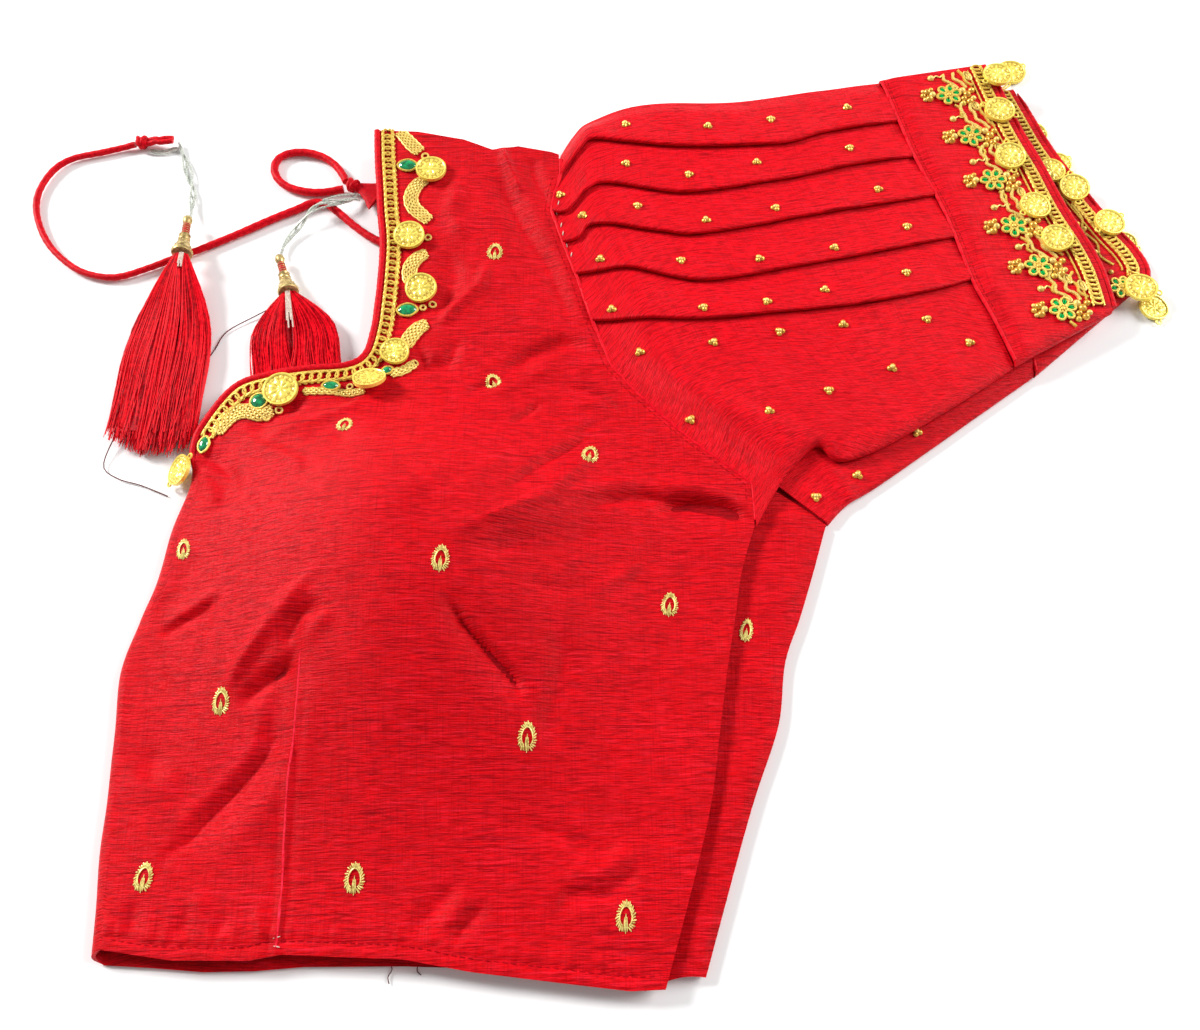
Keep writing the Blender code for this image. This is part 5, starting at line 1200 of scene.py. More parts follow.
def strand_tassel(name, shape, count, finishes, node, seed, parting, parted, core, loose):
    """Fine silk strands in locks over a fuller body of silk (slot 2, a deep red that is painted shade of the
    tassel's inside), with a pale core at the head.

    The body parts at parting (-1 to 1 across it) down to the share parted. The core shows over the
    share core of the length, and loose is the route of a strand that lies apart.
    """
    head, foot, length, head_size, foot_size, spread_by = shape
    chance = random.Random(seed)
    way = Vector((foot[0] - head[0], foot[1] - head[1], 0)).normalized()
    side = Vector((-way.y, way.x, 0))
    top = Vector(head)
    pile = Pile()

    def size_at(share):
        spread = math.sin(min(share / spread_by, 1.0) * math.pi / 2)
        wide = head_size[0] * 0.85 + (foot_size[0] * 0.97 - head_size[0] * 0.85) * spread
        tall = head_size[1] * 0.85 + (foot_size[1] - head_size[1] * 0.85) * min(share * 1.6, 1.0)
        return wide, tall, top.z + (foot[2] - top.z) * smooth(share * 2.2)

    def parted_by(a, share):
        return 0.11 * bump(a - parting, 0.22) * (1 if a > parting else -1) * smooth((parted - share) * 3)

    rings = 13
    sides = 14
    for low, high in ((-1.0, parting), (parting, 1.0)):
        points = []
        for k in range(rings):
            share = 0.02 + 0.86 * k / (rings - 1)
            wide, tall, middle = size_at(share)
            for angle in circle(sides):
                a = (low + high) / 2 + (high - low) / 2 * math.cos(angle)
                across = (a + 0.35 * parted_by(a, share)) * wide / 2 * 0.95
                z = middle + math.sin(angle) * tall * 0.30 * math.sqrt(max(1 - (0.9 * a) ** 2, 0.15))
                spot = top + way * length * share + side * across
                points.append((spot.x, spot.y, max(z, 0.4)))
        # the body takes slot 2, the deep red silk: painted shade inside the tassel
        pile.add(points, hull_faces(rings, sides), 2)
    locks = [(chance.uniform(-0.16, 0.16), chance.uniform(0, 6.3), chance.uniform(0.95, 1.0))
             for _ in range(13)]
    steps = 11
    for n in range(count):
        a = chance.uniform(-1, 1)
        b = chance.uniform(-1, 1)
        lean, phase, reach_share = locks[int((a + 1) / 2 * 12.99)]
        drift = chance.gauss(0, 0.06)
        reach = length * reach_share * chance.uniform(0.88, 1.0) * (1 - 0.06 * a * a)
        fray = chance.gauss(0, 1.1)
        own = chance.uniform(0, 6.3)
        rate = chance.uniform(7, 16)
        stray = 1.3 if chance.random() < 0.1 else 0.4
        crown = math.sqrt(max(1 - (0.9 * a) ** 2, 0.1))
        path = []
        for k in range(steps + 1):
            share = k / steps
            wide, tall, middle = size_at(share)
            across = (a + parted_by(a, share) + (drift + lean * 0.35) * share) * wide / 2
            sway = 0.7 * math.sin(phase + share * 5) * share
            across += sway + stray * math.sin(own + share * rate) * share
            across += fray * smooth((share - 0.72) * 3.5)
            across = max(-wide / 2 * 1.03, min(wide / 2 * 1.03, across))
            spot = top + way * reach * share + side * across
            z = middle + b * tall / 2 * 0.9 * crown + 0.25 * math.sin(own + share * 9)
            path.append((spot.x, spot.y, max(z, 0.45)))
        thick = chance.uniform(0.18, 0.34)
        # some strands also take the deep red, a random darker tone
        slot = 2 if chance.random() < 0.22 else 0
        tube(pile, path, lambda k, angle, thick=thick: thick * (1 - 0.03 * k), 4, slot)
    for n in range(5):
        a = -0.9 + 1.8 * n / 4
        path = []
        for k in range(5):
            share = k / 4 * core * (1 + 0.3 * math.sin(2.1 * n))
            spot = top + way * length * share + side * (a * (0.8 + 2.0 * share) + parting * head_size[0] / 2)
            z = top.z + head_size[1] * 0.46 + (foot[2] + 2.4 - top.z) * smooth(share * 2.2)
            path.append((spot.x, spot.y, z))
        tube(pile, path, 0.36, 5, 1)
    tube(pile, evenly(loose, 2.5), 0.26, 5, 3)
    pile.made(name, finishes, [node], "red_cloth")


def ties(kit):
    """Both ties with their knots, threads, caps and tassels."""
    caps = [tassel_cap(f"tassel_cap_{k}", *ends, kit.old_gold, kit.wrap, f"cap_{k}")
            for k, ends in ((1, CAP_1), (2, CAP_2))]
    silks = [kit.silk, kit.core, kit.deep_silk, kit.brown]
    strand_tassel("silk_tassel_1", TASSEL_1, 1000, silks, "tassel_1", 3, 0.25, 0.3, 0.06, LOOSE_SILK_1)
    strand_tassel("silk_tassel_2", TASSEL_2, 860, silks, "tassel_2", 5, -0.05, 0.8, 0.26, LOOSE_SILK_2)
    twisted_thread("silver_twist_1", THREAD_1_ROUTE, THREAD, kit.silver, "thread_1")
    twisted_thread("silver_twist_2", THREAD_2_ROUTE, THREAD, kit.silver, "thread_2")
    wires("thread_tails", THREAD_TAILS, 0.8, corded(0.45, 0.16, 2.9, 0), 6, kit.silver, "silver_thread")
    knot_1 = wrapped_knot("tie_knot_1", KNOT_1, kit.roll, "knot_1", True)
    knot_2 = wrapped_knot("tie_knot_2", KNOT_2, kit.roll, "knot_2", False)
    tie_root(kit.roll)
    cloth_cord("tie_1", DORI_1_ROUTE, DORI, kit.roll, "dori_1")
    cloth_cord("tie_2", DORI_2_ROUTE, DORI, kit.roll, "dori_2")


# ---- body cloth ------------------------------------------------------------------------------------

def weave_mark(x, y):
    """Place in the weave, which lies a little aslant."""
    lean = math.radians(1.5)
    return (x * math.cos(lean) + y * math.sin(lean), y * math.cos(lean) - x * math.sin(lean))


def front_cloth(finish):
    """Right front, round the centre-front fold, and the left front face down on the table."""
    columns = 136
    low_columns = 12
    arc = 10
    grids = ([], [], [])
    hem_left = fold_radius(0.0)
    hem_right = row_point(0.0, 5)
    for t in row_steps(1.7):
        edge = row_point(t, 1)
        normal = inward(t, 1)
        folded = t <= FOLD_END
        radius = fold_radius(t)
        opened = smooth((t - UNDERARM) / (FOLD_END - UNDERARM))
        inset = radius + (PIPING * 0.55 - radius) * opened
        left = shifted(edge, normal, inset)
        right = row_point(t, 5)
        low_left = shifted(row_point(t, 3), inward(t, 3), 2.0)
        if folded:
            x, y = shifted(edge, normal, radius)
            low_left = mix((x, y - UNDER_SLIP * max(0.0, 1 - t) ** 2), low_left, opened)
        low_right = shifted(row_point(t, 7), inward(t, 7), 0.6)
        row = []
        for k in range(low_columns):
            u = 1.0 - k / low_columns
            x, y = panel_point(u, t, low_left, low_right, UNDER_HEM_EDGE)
            z = 0.25 * (1 + ripple(x, y, 2.0)) * smooth(u * 6) * 0.3
            row.append(((x, y, z), (x, y, z + CLOTH), weave_mark(-x, y)))
        for k in range(arc + 1):
            if not folded:
                spots = (None, None) if k else ((*low_left, 0.0), (*low_left, CLOTH))
                row.append((*spots, weave_mark(-low_left[0], low_left[1])))
                continue
            angle = -math.pi / 2 + math.pi * k / arc
            x, y = mix(low_left, left, k / arc)
            away = math.cos(angle) * inset / radius
            wobble = 0.35 * ripple(edge[1], 40, 1.0) * away
            spots = [(x - normal[0] * (r + wobble) * away, y - normal[1] * (r + wobble) * away,
                      radius + r * math.sin(angle)) for r in (radius, radius - CLOTH)]
            row.append((*spots, weave_mark(-radius * (math.pi / 2 - angle), edge[1])))
        if not folded:
            z = cloth_height(*left, 99)
            row[-1] = ((*left, z), (*left, z - CLOTH), weave_mark(*left))
        for k in range(1, columns + 1):
            u = k / columns
            x, y = panel_point(u, t, left, right)
            hem_y = panel_point(u, 0.0, (hem_left, 0), hem_right)[1]
            settle = smooth((1 - u) * 22)
            z = cloth_height(x, y, y - hem_y)
            z = front_height(x, y) * (1 - settle) + z * settle - 0.5 * (1 - settle)
            row.append(((x, y, z), (x, y, z - CLOTH), weave_mark(x, y)))
        add_row(grids, row)
    mesh = wall_mesh("front_cloth", *grids, wrap=False)
    return finish_piece(mesh, "front_cloth", finish, ["front", "hem_front", "hem_under"])


def back_cloth(finish):
    """Left back: the strip that shows beyond the side seam."""
    columns = 16
    grids = ([], [], [])
    for t in row_steps(3.0):
        low = shifted(row_point(t, 5), inward(t, 5), 7.4)
        high = shifted(row_point(t, 7), inward(t, 7), 0.2)
        row = []
        for k in range(columns + 1):
            u = k / columns
            x, y = mix(low, high, u)
            if t < 1:
                y += (1 - t) * 3.0 * (math.sin(u * 2.4) - 0.9)
            shown = smooth((u - 0.30) * 3) * smooth((1 - u) * 6) if t < UNDERARM + 1 else 0.0
            z = BACK_HIGH + shown * (1.1 + 0.45 * ripple(x, y, 4.0) + crease_sum(BACK_CREASES, x, y))
            to_hem = y - (-10 + 0.1 * (x - 215))
            z -= 0.5 * shown * bump(to_hem - HEM_GROOVE, 0.8)
            row.append(((x, y, z), (x, y, z - CLOTH * 0.8), weave_mark(-x + 4, y)))
        add_row(grids, row)
    mesh = wall_mesh("back_cloth", *grids, wrap=False)
    return finish_piece(mesh, "back_cloth", finish, ["back", "hem_back"])


def inner_cloth(finish):
    """The layers inside the fold, with the edge's plies rounded and a little wavy; their finish is a
    darkened copy of the body red, painted shade.
    """
    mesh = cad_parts["hidden_layers"].data.copy()
    work = bmesh.new()
    work.from_mesh(mesh)
    bmesh.ops.remove_doubles(work, verts=work.verts, dist=0.00001)
    bmesh.ops.subdivide_edges(work, edges=work.edges, cuts=1, use_grid_fill=True)
    for vertex in work.verts:
        x = vertex.co.x / MM + ORIGIN_X
        y = vertex.co.y / MM + ORIGIN_Y
        vertex.co.z += 0.00015 * ripple(x, y, 3.0)
    layer = work.loops.layers.uv.new("weave")
    for face in work.faces:
        for loop in face.loops:
            loop[layer].uv = (loop.vert.co.x / MM, loop.vert.co.y / MM)
    work.to_mesh(mesh)
    work.free()
    mesh.materials.clear()
    finish_piece(mesh, "inner_cloth", finish, ["hidden_layers"], 60)


# ---- sleeves ---------------------------------------------------------------------------------------

def ridge_side(x, y):
    """Distance from the sleeve's ridge line, positive towards the hem's side."""
    dx = RIDGE_TIP[0] - RIDGE_FOOT[0]
    dy = RIDGE_TIP[1] - RIDGE_FOOT[1]
    return ((y - RIDGE_FOOT[1]) * -dx + (x - RIDGE_FOOT[0]) * dy) / math.hypot(dx, dy)


def sleeve_level(share, x, y, depth):
    """Height of the right sleeve; it sinks beyond the ridge that runs from the armhole."""
    crown = SLEEVE_ARMHOLE + (SLEEVE_CROWN - SLEEVE_ARMHOLE) * smooth(share / 0.16)
    crown += 1.1 * bump(share - 0.13, 0.09)
    crown -= 0.8 * smooth((share - 0.5) / 0.5)
    side = ridge_side(x, y)
    facet = smooth(side / 26) if x < RIDGE_END_X else 0.0
    sink = (crown - SLEEVE_ARMHOLE + 0.2) * facet
    level = crown - sink - (crown - sink - SLEEVE_ARMHOLE) * 0.5 * (1 - smooth(depth / 8))
    if x < RIDGE_END_X:
        level += 0.9 * bump(side + 1.5, 4.0) * smooth((x - RIDGE_START_X) / 20)
    return level + 0.3 * ripple(x * 1.3, y * 1.3, 5.0) * smooth(share * 8)


def left_level(share, x, y, depth):
    """Height of the left sleeve, which lies almost flat under the right one."""
    level = LEFT_CROWN - 1.0 * (1 - smooth(depth / 8)) * smooth(share * 5)
    fold = bump((x - 279) * 0.82 + (y - 178) * 0.57, 3.2)
    return level + 1.2 * fold + 0.3 * ripple(x, y, 6.0) * smooth(depth / 6)


def turn(w, z, radius, way):
    """Half a round turn of the cloth, from above (w, z) to below it."""
    return [(w + way * radius * math.cos(a), z + radius * math.sin(a))
            for a in (math.pi / 2 - math.pi * k / 7 for k in range(8))]


def across_ring(routes, share):
    """Spots of a section across the routes, and how far along the section they lie."""
    spots = [along(route, share) for route in routes]
    return spots, run_lengths(spots)


def on_ring(spots, reach, w):
    """Place of the point at w along a section."""
    i = 0
    while i < len(reach) - 2 and w > reach[i + 1]:
        i += 1
    return mix(spots[i], spots[i + 1], (w - reach[i]) / (reach[i + 1] - reach[i]))


def offset_ring(ring, distance):
    """The ring moved sideways, which gives one face of the cloth from its middle line."""
    moved = []
    for k, b in enumerate(ring):
        n0 = left_normal(ring[k - 1], b)
        n1 = left_normal(b, ring[(k + 1) % len(ring)])
        nx = n0[0] + n1[0]
        ny = n0[1] + n1[1]
        size = math.hypot(nx, ny) or 1.0
        nx /= size
        ny /= size
        stretch = min(1 / max(nx * n0[0] + ny * n0[1], 0.6), 1.5)
        moved.append((b[0] + nx * distance * stretch, b[1] + ny * distance * stretch))
    return moved


def add_section(grids, ring, spots, reach, cloth, mark, shift=(0.0, 0.0)):
    """Adds a section's two faces and its weave marks to the grids of a wall."""
    for grid, distance in zip(grids, (cloth / 2, -cloth / 2)):
        row = []
        for w, z in offset_ring(ring, distance):
            x, y = on_ring(spots, reach, w)
            row.append((x + shift[0], y + shift[1], z))
        grid.append(row)
    grids[2].append([mark(run) for run in run_lengths(ring)])


def sleeve_ring(kinds, routes, share, floor, level, counts):
    """Middle line of the cloth in one section: (distance across, height) all the way round."""
    spots, reach = across_ring(routes, share)
    width = reach[-1]

    def height(w):
        w = min(max(w, 0.0), width)
        x, y = on_ring(spots, reach, w)
        return level(share, x, y, min(w, width - w))

    radius = (height(0.0) - floor) / 2
    low_radius = (height(width) - floor) / 2
    first = 0.12 * math.pi
    ring = [(radius - radius * math.sin(a), floor + radius * (1 - math.cos(a)))
            for a in (first + (math.pi - first) * k / 8 for k in range(9))]
    ply = PLY * (1 - 0.28 * smooth((share - 0.88) / 0.12))
    half = ply / 2
    gather = 1 - smooth(share / 0.5)
    for i in range(1, len(kinds) - 1):
        start = reach[i]
        base = height(start)
        before = ring[-1]
        pleat = kinds[i] == "pleat"
        lip = start - half - SLEEVE_CLOTH / 2
        target = (lip - 1.2, base + 2 * ply) if pleat else (start, base)
        lift = before[1] - height(before[0])
        rise = target[1] - height(target[0])
        for k in range(1, counts[i] + 1):
            f = k / counts[i]
            w = before[0] + (target[0] - before[0]) * f
            belly = (0.5 + 0.5 * gather) * math.sin(math.pi * f) if pleat else 0.0
            ring.append((w, height(w) + lift * (1 - smooth(f * 3)) + rise * f ** 1.6 + belly * 0.8))
        if pleat:
            ring += turn(lip, base + 1.5 * ply, half, 1)
            ring += turn(lip - UNDERLAP, base + half, half, -1)
            ring += [(start - 0.4, base), (start + 1.2, base + 0.05)]
    before = ring[-1][0]
    target = width - low_radius - 0.6
    steps = counts[0]
    ring += [(w, height(w)) for w in (before + (target - before) * k / steps for k in range(1, steps + 1))]
    ring += [(width - low_radius * (1 - math.sin(a)), floor + low_radius * (1 + math.cos(a)))
             for a in (math.pi * k / 8 for k in range(1, 8))]
    low = width - low_radius
    under = 16
    ring += [(low + (radius - low) * k / under, floor) for k in range(under + 1)]
    return ring, spots, reach


def sleeve(name, lines, stations, floor, level, finish, node):
    """A sleeve as one closed ring of cloth with the same points in every section."""
    kinds = [line[0] for line in lines]
    routes = [softened(line[1:]) for line in lines]
    reach = across_ring(routes, 0.5)[1]
    counts = [6] + [max(2, round((b - a) / 3.2)) for a, b in zip(reach, reach[1:])]
    grids = ([], [], [])
    for k in range(stations + 1):
        share = (k / stations) * (0.55 + 0.45 * k / stations)
        section = sleeve_ring(kinds, routes, share, floor, level, counts)
        add_section(grids, *section, SLEEVE_CLOTH, lambda run: (share * SLEEVE_LENGTH, run * 0.9),
                    (SLIT * (1 - share), SLIT * 0.7 * (1 - share)))
    mesh = wall_mesh(name, *grids, wrap=True)
    return finish_piece(mesh, name, finish, [node], 55)


def band(name, lines, top, fall, floor, floor_rise, finish, node, seed, seam_drop):
    """A sleeve band of doubled cloth with a stitched seam and soft uneven waves."""
    stations = 18
    grids = ([], [], [])
    for k in range(stations + 1):
        share = k / stations
        spots = softened([mix(line[1:3], line[3:5], share) for line in lines])
        reach = run_lengths(spots)
        width = reach[-1]
        under = floor + floor_rise * share + BAND_CLOTH / 2
        over = top - fall * share - BAND_CLOTH / 2 - seam_drop * (1 - smooth(share / 0.16))
        seam = -0.45 * bump(share - 0.045, 0.02)
        radius = (over - under) / 2
        ring = [(radius * (1 - math.sin(a)), under + radius * (1 - math.cos(a)))
                for a in (math.pi * i / 8 for i in range(0, 8))]
        for w in reach[2:-2]:
            edge = smooth(min(w, width - w) / 8)
            x, y = on_ring(spots, reach, w)
            ring.append((w, over + edge * (0.2 * ripple(x * 1.6, y * 1.6, seed) + seam)))
        ring += [(width - radius * (1 - math.sin(a)), under + radius * (1 + math.cos(a)))
                 for a in (math.pi * i / 8 for i in range(1, 9))]
        ring += [(w, under) for w in reversed(reach[2:-2:3])]
        add_section(grids, ring, spots, reach, BAND_CLOTH,
                    lambda run: (share * BAND_LENGTH + 0.12 * run + 300, run - share * 6))
    mesh = wall_mesh(name, *grids, wrap=True)
    return finish_piece(mesh, name, finish, [node], 55)


# ---- piping, chains and scrolls --------------------------------------------------------------------

def neck_line(inset, pitch, first=7.4):
    """A line beside the neck's edge, from row first to the shoulder."""
    rows = [first + (NECK_END - first) * k / 120 for k in range(121)]
    return evenly([shifted(row_point(t, 1), inward(t, 1), inset) for t in rows], pitch)


def mouth_line(lines, inset, pitch, first=0.02, last=0.985):
    """A line beside a cuff's mouth, over a share of its length."""
    mouth = softened([line[3:5] for line in lines])
    fine = [along(mouth, first + (last - first) * k / 48) for k in range(49)]
    path = []
    for k, spot in enumerate(fine):
        normal = left_normal(fine[max(k - 1, 0)], fine[min(k + 1, 48)])
        path.append(shifted(spot, normal, -inset))
    return evenly(path, pitch)


def piping(name, path, width, finish, node):
    """A bias-cut roll with slanting pulls, thin at its start."""
    def radius(k, angle):
        pull = 0.97 + 0.05 * math.sin(2.4 * k + 1.3 * angle) + 0.02 * math.sin(0.5 * k)
        return width / 2 * min(1.0, 0.3 + 0.1 * k) * pull

    pile = Pile()
    tube(pile, path, radius, 12)
    pile.made(name, finish, [node], "red_cloth")


def chain(pile, path, width, link, look):
    """A chain braid: two corded rails and a row of loops through each other between them."""
    half = width / 2
    wire = CHAIN_WIRE
    normals = [left_normal(path[max(k - 1, 0)], path[min(k + 1, len(path) - 1)]) for k in range(len(path))]
    for side in (-1, 1):
        rail = []
        for spot, normal in zip(path, normals):
            px, py = shifted(spot, normal, side * (half - wire / 2))
            rail.append(laid(look, px, py, TRIM_LIFT + wire * 0.45))
        tube(pile, rail, corded(wire * 0.42, 0.22, 1.9), 6)
    every = max(1, round(link / math.dist(path[0], path[1])))
    for k in range(every // 2, len(path) - 1, every):
        x, y = path[k]
        normal = normals[k]
        tilt = 0.35 if (k // every) % 2 else 0.15
        ring = []
        for angle in circle(12):
            a = math.cos(angle) * link * 0.66 + math.sin(angle) * link * 0.1
            b = math.sin(angle) * (half - wire * 0.7)
            ring.append(laid(look, x + normal[1] * a + normal[0] * b, y - normal[0] * a + normal[1] * b,
                             TRIM_LIFT + wire * 0.55 + tilt * math.cos(angle)))
        tube(pile, ring, wire * 0.42, 6, closed=True)


def scroll_stitches(pile, path, look):
    """A leafy gimp: rows of short slanting loops across it, between two corded edges."""
    pitch = math.dist(path[0][:2], path[1][:2])
    normals = [left_normal(before, after) for before, after in zip(path, path[2:])]
    for k, ((x, y, width), normal) in enumerate(zip(path[1:-1], normals), 1):
        lanes = max(2, round(width / 1.15))
        for lane in range(lanes):
            across = ((lane + 0.5) / lanes - 0.5) * (width - 0.5)
            slant = 0.75 if (lane + k) % 2 else -0.75
            rise = 0.42 * math.sqrt(max(1 - (2 * across / width) ** 2, 0.0))
            ends = []
            for way in (-1, 1):
                px, py = shifted((x, y), normal, across + way * slant * 0.6)
                px += way * normal[1] * 0.75
                py -= way * normal[0] * 0.75
                ends.append(laid(look, px, py, TRIM_LIFT + rise))
            stitch(pile, *ends, 1.15, 0.7)
    for side in (-1, 1):
        edge = []
        for k, (spot, normal) in enumerate(zip(path[1:-1], normals), 1):
            jag = 0.22 * math.sin(2 * math.pi * k * pitch / 3.1 + side)
            px, py = shifted(spot, normal, side * (spot[2] / 2 + 0.1 + jag))
            edge.append(laid(look, px, py, TRIM_LIFT + 0.3))
        tube(pile, edge, corded(0.46, 0.25, 2.2), 5)


def neck_edge_loops(pile, path, look):
    """Small picot loops on the chain's inner side."""
    for k in range(2, len(path) - 2, 3):
        normal = left_normal(path[k - 1], path[k + 1])
        ring = []
        for angle in circle(9):
            px, py = shifted(path[k], normal, 0.9 + 0.9 * math.cos(angle))
            sideways = 0.8 * math.sin(angle)
            ring.append(laid(look, px + normal[1] * sideways, py - normal[0] * sideways, 0.5))
        tube(pile, ring, 0.3, 5, closed=True)


# ---- coins, stones, flowers and beads --------------------------------------------------------------

def coin(pile, centre, u, v, w, diameter, turned):
    """A stamped coin: plain rim, ring of grains and an eight-petal rosette; slot 1 is its hollows, in a
    darker gold that is painted shade.
    """
    r = diameter / 2
    sides = 48
    reaches = (0.06, 0.16, 0.26, 0.36, 0.46, 0.55, 0.62, 0.70, 0.78, 0.83, 0.88, 0.93, 0.98, 1.0)
    thick = 0.8
    warp = 0.14

    def relief(reach, angle):
        if reach > 0.9:
            return 0.62
        if reach > 0.86:
            return 0.3
        if reach > 0.70:
            return 0.08 + 0.5 * max(0.0, math.cos(16 * angle)) * bump(reach - 0.78, 0.055)
        petal = abs(math.cos(4 * (angle + turned)))
        leaf = bump(reach - 0.42, 0.2) * petal ** 0.8
        vein = 0.14 * math.cos(16 * (angle + turned)) * bump(reach - 0.56, 0.1)
        return 0.05 + 0.66 * leaf + 0.6 * bump(reach, 0.15) + vein

    points = []
    for face in (1, -1):
        points.append(tuple(centre + w * (thick + 0.4 if face > 0 else 0.0)))
        for reach in reaches:
            for angle in circle(sides):
                rr = r * reach * (1 + 0.012 * math.sin(3 * angle + turned * 5) * reach)
                up = thick + relief(reach, angle) if face > 0 else -0.3 * relief(reach, angle)
                up += warp * math.sin(angle * 2 + turned * 3) * reach * reach
                points.append(tuple(centre + u * rr * math.cos(angle) + v * rr * math.sin(angle) + w * up))
    rings = len(reaches)
    span = 1 + rings * sides
    faces = []
    slots = []
    for base, flip in ((0, False), (span, True)):
        for k in range(sides):
            n = (k + 1) % sides
            loop = [(base, base + 1 + k, base + 1 + n)]
            slots.append(0)
            for q in range(rings - 1):
                a = base + 1 + q * sides
                b = a + sides
                loop.append((a + k, b + k, b + n, a + n))
                height = relief((reaches[q] + reaches[q + 1]) / 2, 2 * math.pi * (k + 0.5) / sides)
                # low faces go to slot 1, whose darker gold paints shade into the hollows
                slots.append(1 if height < 0.2 else 0)
            faces += [face[::-1] for face in loop] if flip else loop
    top = 1 + (rings - 1) * sides
    for k in range(sides):
        n = (k + 1) % sides
        faces.append((top + k, span + top + k, span + top + n, top + n))
        slots.append(0)
    pile.add(points, faces, slots)


def ring_loop(pile, centre, u, v, w, radius, wire, count=12):
    """A closed ring of wire."""
    ring = [tuple(centre + u * radius * math.cos(angle) + v * radius * math.sin(angle))
            for angle in circle(count)]
    tube(pile, ring, wire, 6, up=tuple(w), closed=True)


def coins(spots, look, lift, finish, name, nodes, first_ringed=0):
    """Coins laid on a trim, loose or leaning; those from first_ringed on have two jump rings each."""
    pile = Pile()
    for k, (x, y, diameter, *loose) in enumerate(spots):
        if len(loose) == 2:
            tilt = math.radians(loose[0])
            centre = Vector((x, y, loose[1]))
            u = Vector((math.cos(tilt), 0, -math.sin(tilt)))
            v = Vector((0, 1, 0))
            w = Vector((math.sin(tilt), 0, math.cos(tilt)))
        else:
            centre, u, v, w = laid_frame(look, x, y, lift, 0.2)
            w = (w + u * (0.07 * math.sin(2.3 * k + 1)) + v * 0.06 * math.cos(1.7 * k)).normalized()
            u = (u - w * u.dot(w)).normalized()
            v = w.cross(u)
        if len(loose) == 3:
            lean = math.radians(loose[2])
            centre = centre + w * loose[1]
            w = w * math.cos(lean) + v * math.sin(lean)
            v = w.cross(u)
        coin(pile, centre, u, v, w, diameter, 0.7 * k)
        for side in (-1, 1) if k >= first_ringed else ():
            out = (u * math.cos(0.6 + 2.1 * k) + v * math.sin(0.6 + 2.1 * k)) * side
            ring_loop(pile, centre + out * (diameter / 2 + 0.9) + w * 0.4, out, w.cross(out), w, 1.2, 0.4)
    pile.made(name, finish, nodes, "coin_gold", 40)


def stones(look, finish, rim_finish):
    """Domed stones, pointed at both ends if long, each with a corded rim."""
    pile = Pile()
    sides = 20
    rings = ((1.0, 0.1), (1.0, 0.7), (0.74, 1.35), (0.44, 1.65))
    for x, y, length, width, turned in STONES:
        centre, u, v, w = laid_frame(look, x, y, 0.4)
        turn_by = math.radians(turned)
        long = u * math.cos(turn_by) + v * math.sin(turn_by)
        short = v * math.cos(turn_by) - u * math.sin(turn_by)
        pointed = 1.35 if length > width * 1.3 else 1.0

        def ring_at(reach, high):
            ring = []
            for a in circle(sides):
                lens = math.copysign(abs(math.sin(a)) ** pointed, math.sin(a))
                ring.append(tuple(centre + long * math.cos(a) * length / 2 * reach
                                  + short * lens * width / 2 * reach + w * high))
            return ring

        points = [tuple(centre)]
        for reach, high in rings:
            points += ring_at(reach, high)
        points.append(tuple(centre + w * 1.7))
        pile.add(points, turned_faces(len(rings), sides))
        tube(pile, ring_at(1.12, 0.55), corded(0.5, 0.22, 2.1), 6, 1, up=tuple(w), closed=True)
    pile.made("green_stones", [finish, rim_finish], numbered("stone", len(STONES)), "green_stone", 25)


def flower(pile, x, y, diameter, turned, look):
    """Six gold-edged petals filled with green stitches (slot 1) round a gold bead."""
    centre, u, v, w = laid_frame(look, x, y, 0.5, 0.6)
    r = diameter / 2
    for petal in circle(6):
        angle = turned + petal
        out = u * math.cos(angle) + v * math.sin(angle)
        wide = w.cross(out)
        middle = centre + out * r * 0.62
        ring = [tuple(middle + out * r * 0.36 * math.cos(a)
                      + wide * r * 0.27 * math.sin(a) * (1 + 0.15 * math.cos(a)) + w * 0.55)
                for a in circle(12)]
        tube(pile, ring, 0.60, 6, up=tuple(w), closed=True)
        for s in range(2):
            shift = wide * ((s - 0.5) * r * 0.16)
            a = middle - out * r * 0.20 + shift
            b = middle + out * r * 0.26 + shift
            stitch(pile, tuple(a + w * 0.1), tuple(b + w * 0.1), 1.0, 0.75, 1)
    lathe(pile, ((0, 0), (1.0, 0.1), (1.2, 0.6), (0.9, 1.2), (0, 1.5)), centre, u, v, w, 10)


def bead(pile, x, y, size, look, slot, lift, sides, turned):
    """A faceted bead sewn flat: a low cone-topped dome on a short skirt."""
    centre, u, v, w = laid_frame(look, x, y, lift, 0.3)
    a = u * math.cos(turned) + v * math.sin(turned)
    b = v * math.cos(turned) - u * math.sin(turned)
    r = size / 2
    profile = ((0, -0.2), (r, 0.0), (r * 1.02, r * 0.28), (r * 0.55, r * 0.82), (r * 0.16, r * 0.98), (0, r))
    lathe(pile, profile, centre, a, b, w, sides, slot)


def bead_group(pile, x, y, look, k):
    """Three tiny gold beads sewn close together, with a pale one raised between them as a painted highlight.
    """
    for n in range(3):
        angle = 2.1 * n + 1.3 * k
        bead(pile, x + 1.15 * math.cos(angle), y + 0.95 * math.sin(angle), 2.5, look, 0, 0.1, 7, angle)
    # slot 1 takes the pale gold: a painted highlight on the cluster
    bead(pile, x - 0.2, y + 0.2, 2.2, look, 1, 0.9, 6, k)


